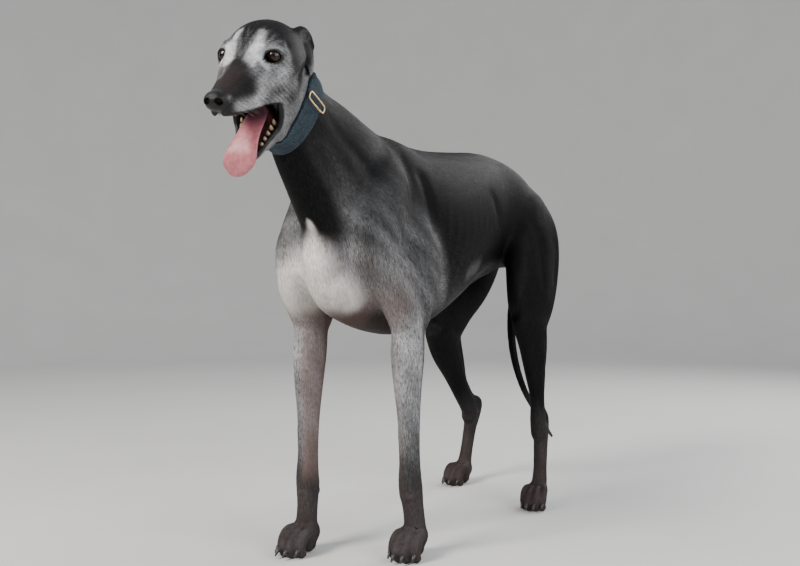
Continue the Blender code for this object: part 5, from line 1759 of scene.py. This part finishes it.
def web_material():
    """Mottled blue webbing, woven on the slant."""
    made, tree, shader = material("blue_webbing")
    at = here(tree, "UV")
    turned = add(tree, "ShaderNodeMapping", Vector=at, Rotation=(0, 0, math.radians(52))).outputs[0]
    slant = {"Scale": 190.0, "Distortion": 1.2, "Detail": 2.0, "Detail Scale": 3.0, "Vector": turned}
    ribs = add(tree, "ShaderNodeTexWave", {"bands_direction": "X"}, **slant).outputs["Fac"]
    mottle = between_values(tree, noise(tree, 95.0, 3.0, at), 0.36, 0.64)
    speck = noise(tree, 420.0, 2.0, at)
    blue = mixed(tree, mottle, (0.0022, 0.0066, 0.013, 1), (0.006, 0.0215, 0.035, 1))
    light = maths(tree, "MULTIPLY", between_values(tree, speck, 0.52, 0.66), ribs)
    finish(tree, shader, mixed(tree, light, blue, (0.048, 0.095, 0.125, 1)), Roughness=0.85)
    bump(tree, shader, maths(tree, "ADD", ribs, speck), 0.7, 0.0005)
    return made


def thread_material():
    """Blue sewing thread."""
    tints = (0.03, 0.06, 0.1, 1), (0.08, 0.14, 0.2, 1)
    return mottled("seam_thread", 700.0, 2.0, 0.35, 0.65, *tints, 0.8)


def brass_material():
    """Worn brass wire."""
    made, tree, shader = material("brass_wire")
    share = between_values(tree, noise(tree, 500.0, 3.0, here(tree)), 0.35, 0.65)
    rough = between_values(tree, share, 0.0, 1.0, 0.2, 0.34)
    brass = mixed(tree, share, (0.78, 0.58, 0.3, 1), (0.62, 0.43, 0.2, 1))
    finish(tree, shader, brass, Roughness=rough, Metallic=1.0)
    return made


def whisker_material():
    """Stiff hairs, some dark and some pale."""
    tints = (0.02, 0.018, 0.018, 1), (0.4, 0.38, 0.37, 1)
    return mottled("whisker_hair", 60.0, 2.0, 0.4, 0.6, *tints, 0.4)


def floor_material():
    """A pale floor, a little uneven in tone."""
    made, tree, shader = material("pale_floor")
    tone = noise(tree, 3.0, 3.0, here(tree))
    colour = mixed(tree, tone, (0.6, 0.59, 0.57, 1), (0.66, 0.65, 0.63, 1))
    finish(tree, shader, colour, Roughness=0.85)
    return made


def smooth(obj):
    """Shades all faces of an object as one curved surface."""
    obj.data.polygons.foreach_set("use_smooth", np.ones(len(obj.data.polygons), bool))
    obj.data.update()


def dressed(obj, made, nodes=(), rides="root"):
    """Gives a piece its material and the nodes that it stands for."""
    obj.data.materials.clear()
    obj.data.materials.append(made)
    smooth(obj)
    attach(obj, rides)
    if nodes:
        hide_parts(*nodes)
    return obj


def tree_of(obj):
    """An object's surface, for finding its nearest points and where rays hit it."""
    mesh = obj.data
    return BVHTree.FromPolygons([v.co for v in mesh.vertices], [p.vertices for p in mesh.polygons])


def dog():
    """The whole dog with its collar."""
    skin, radii = skin_mesh()
    skin.name = skin.data.name = "coat_skin"
    smooth(skin)
    points = coordinates(skin.data)
    paint(skin, marks(points), tint_share(points))
    unwrapped(skin)
    tree = tree_of(skin)
    dressed(skin, skin_material(), FLESH_NODES)
    hair = hair_material()
    for piece in hair_pieces(skin, tree):
        dressed(piece, hair)
    dressed(whiskers(), whisker_material())
    dressed(teeth_piece(), tooth_material())
    dressed(claw_pieces(), claw_material())
    for side in (1, -1):
        dressed(eye(side), eye_material(), ["eye_" + SIDES[side]])
    lap = mesh_object("tongue_flesh", [moved(tongue(), jaw_matrix())])
    rounded_lap = lap.modifiers.new("Round", "SUBSURF")
    rounded_lap.levels = rounded_lap.render_levels = 2
    dressed(baked(lap), tongue_material(), ["tongue"])
    web = band("webbing", radii, 0.0, 1.0, COLLAR_BASE, COLLAR_BAND)
    dressed(web, web_material(), ["collar"])
    rows = [stitches(radii, share, COLLAR_BASE + COLLAR_BAND, 150) for share in (0.07, 0.93)]
    dressed(mesh_object("stitches", rows[0] + rows[1]), thread_material())
    dressed(ring_piece(radii), brass_material(), ["collar_ring"])


def backdrop():
    """A pale floor that curves up into a round wall."""
    bend = np.radians(np.linspace(0, 80, 24))
    reach = np.concatenate([(0.0001, 2.0), FLOOR_REACH + CURVE * np.sin(bend), (7.35,)])
    height = np.concatenate([(0.0, 0.0), CURVE * (1 - np.cos(bend)), (WALL_TOP,)])
    turns = np.arange(96) * math.pi / 48
    reach, height = reach[:, None], height[:, None]
    rings = np.broadcast_arrays(reach * np.cos(turns), reach * np.sin(turns), height)
    a, b = np.meshgrid(np.arange(len(reach) - 1) * 96, np.arange(96), indexing="ij")
    c = (b + 1) % 96
    faces = np.stack([a + b, a + 96 + b, a + 96 + c, a + c], -1).reshape(-1, 4)
    floor = quick_mesh("floor", np.stack(rings, -1).reshape(-1, 3), faces)
    floor.data.materials.append(floor_material())
    smooth(floor)


def put(name, data, at):
    """A new object of a lamp or camera, at a place."""
    obj = bpy.data.objects.new(name, data)
    bpy.context.scene.collection.objects.link(obj)
    obj.location = at
    return obj


def light_set():
    """A soft sky and three soft lamps, aimed at the dog's middle."""
    world = bpy.data.worlds.new("studio")
    world.use_nodes = True
    sky = world.node_tree.nodes["Background"]
    sky.inputs["Color"].default_value = (0.86, 0.9, 0.96, 1)
    sky.inputs["Strength"].default_value = SKY_STRENGTH
    bpy.context.scene.world = world
    for name, at, size, watts, tint in LIGHTS:
        lamp = bpy.data.lights.new(name, "AREA")
        lamp.size = size
        lamp.energy = watts
        lamp.color = tint
        aim = Vector((0, 0, 0.45)) - Vector(at)
        put(name, lamp, at).rotation_euler = aim.to_track_quat("-Z", "Y").to_euler()


def camera_set():
    """The camera where the photo was taken from."""
    lens = bpy.data.cameras.new("camera")
    lens.sensor_width = 36.0
    lens.lens = FOCAL_PIXELS * 36.0 / IMAGE_WIDTH
    camera = put("camera", lens, place(*CAMERA_AT))
    camera.rotation_euler = (math.radians(90 + CAMERA_TILT), 0, math.radians(CAMERA_HEADING))
    bpy.context.scene.camera = camera


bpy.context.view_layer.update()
dog()
backdrop()
light_set()
camera_set()
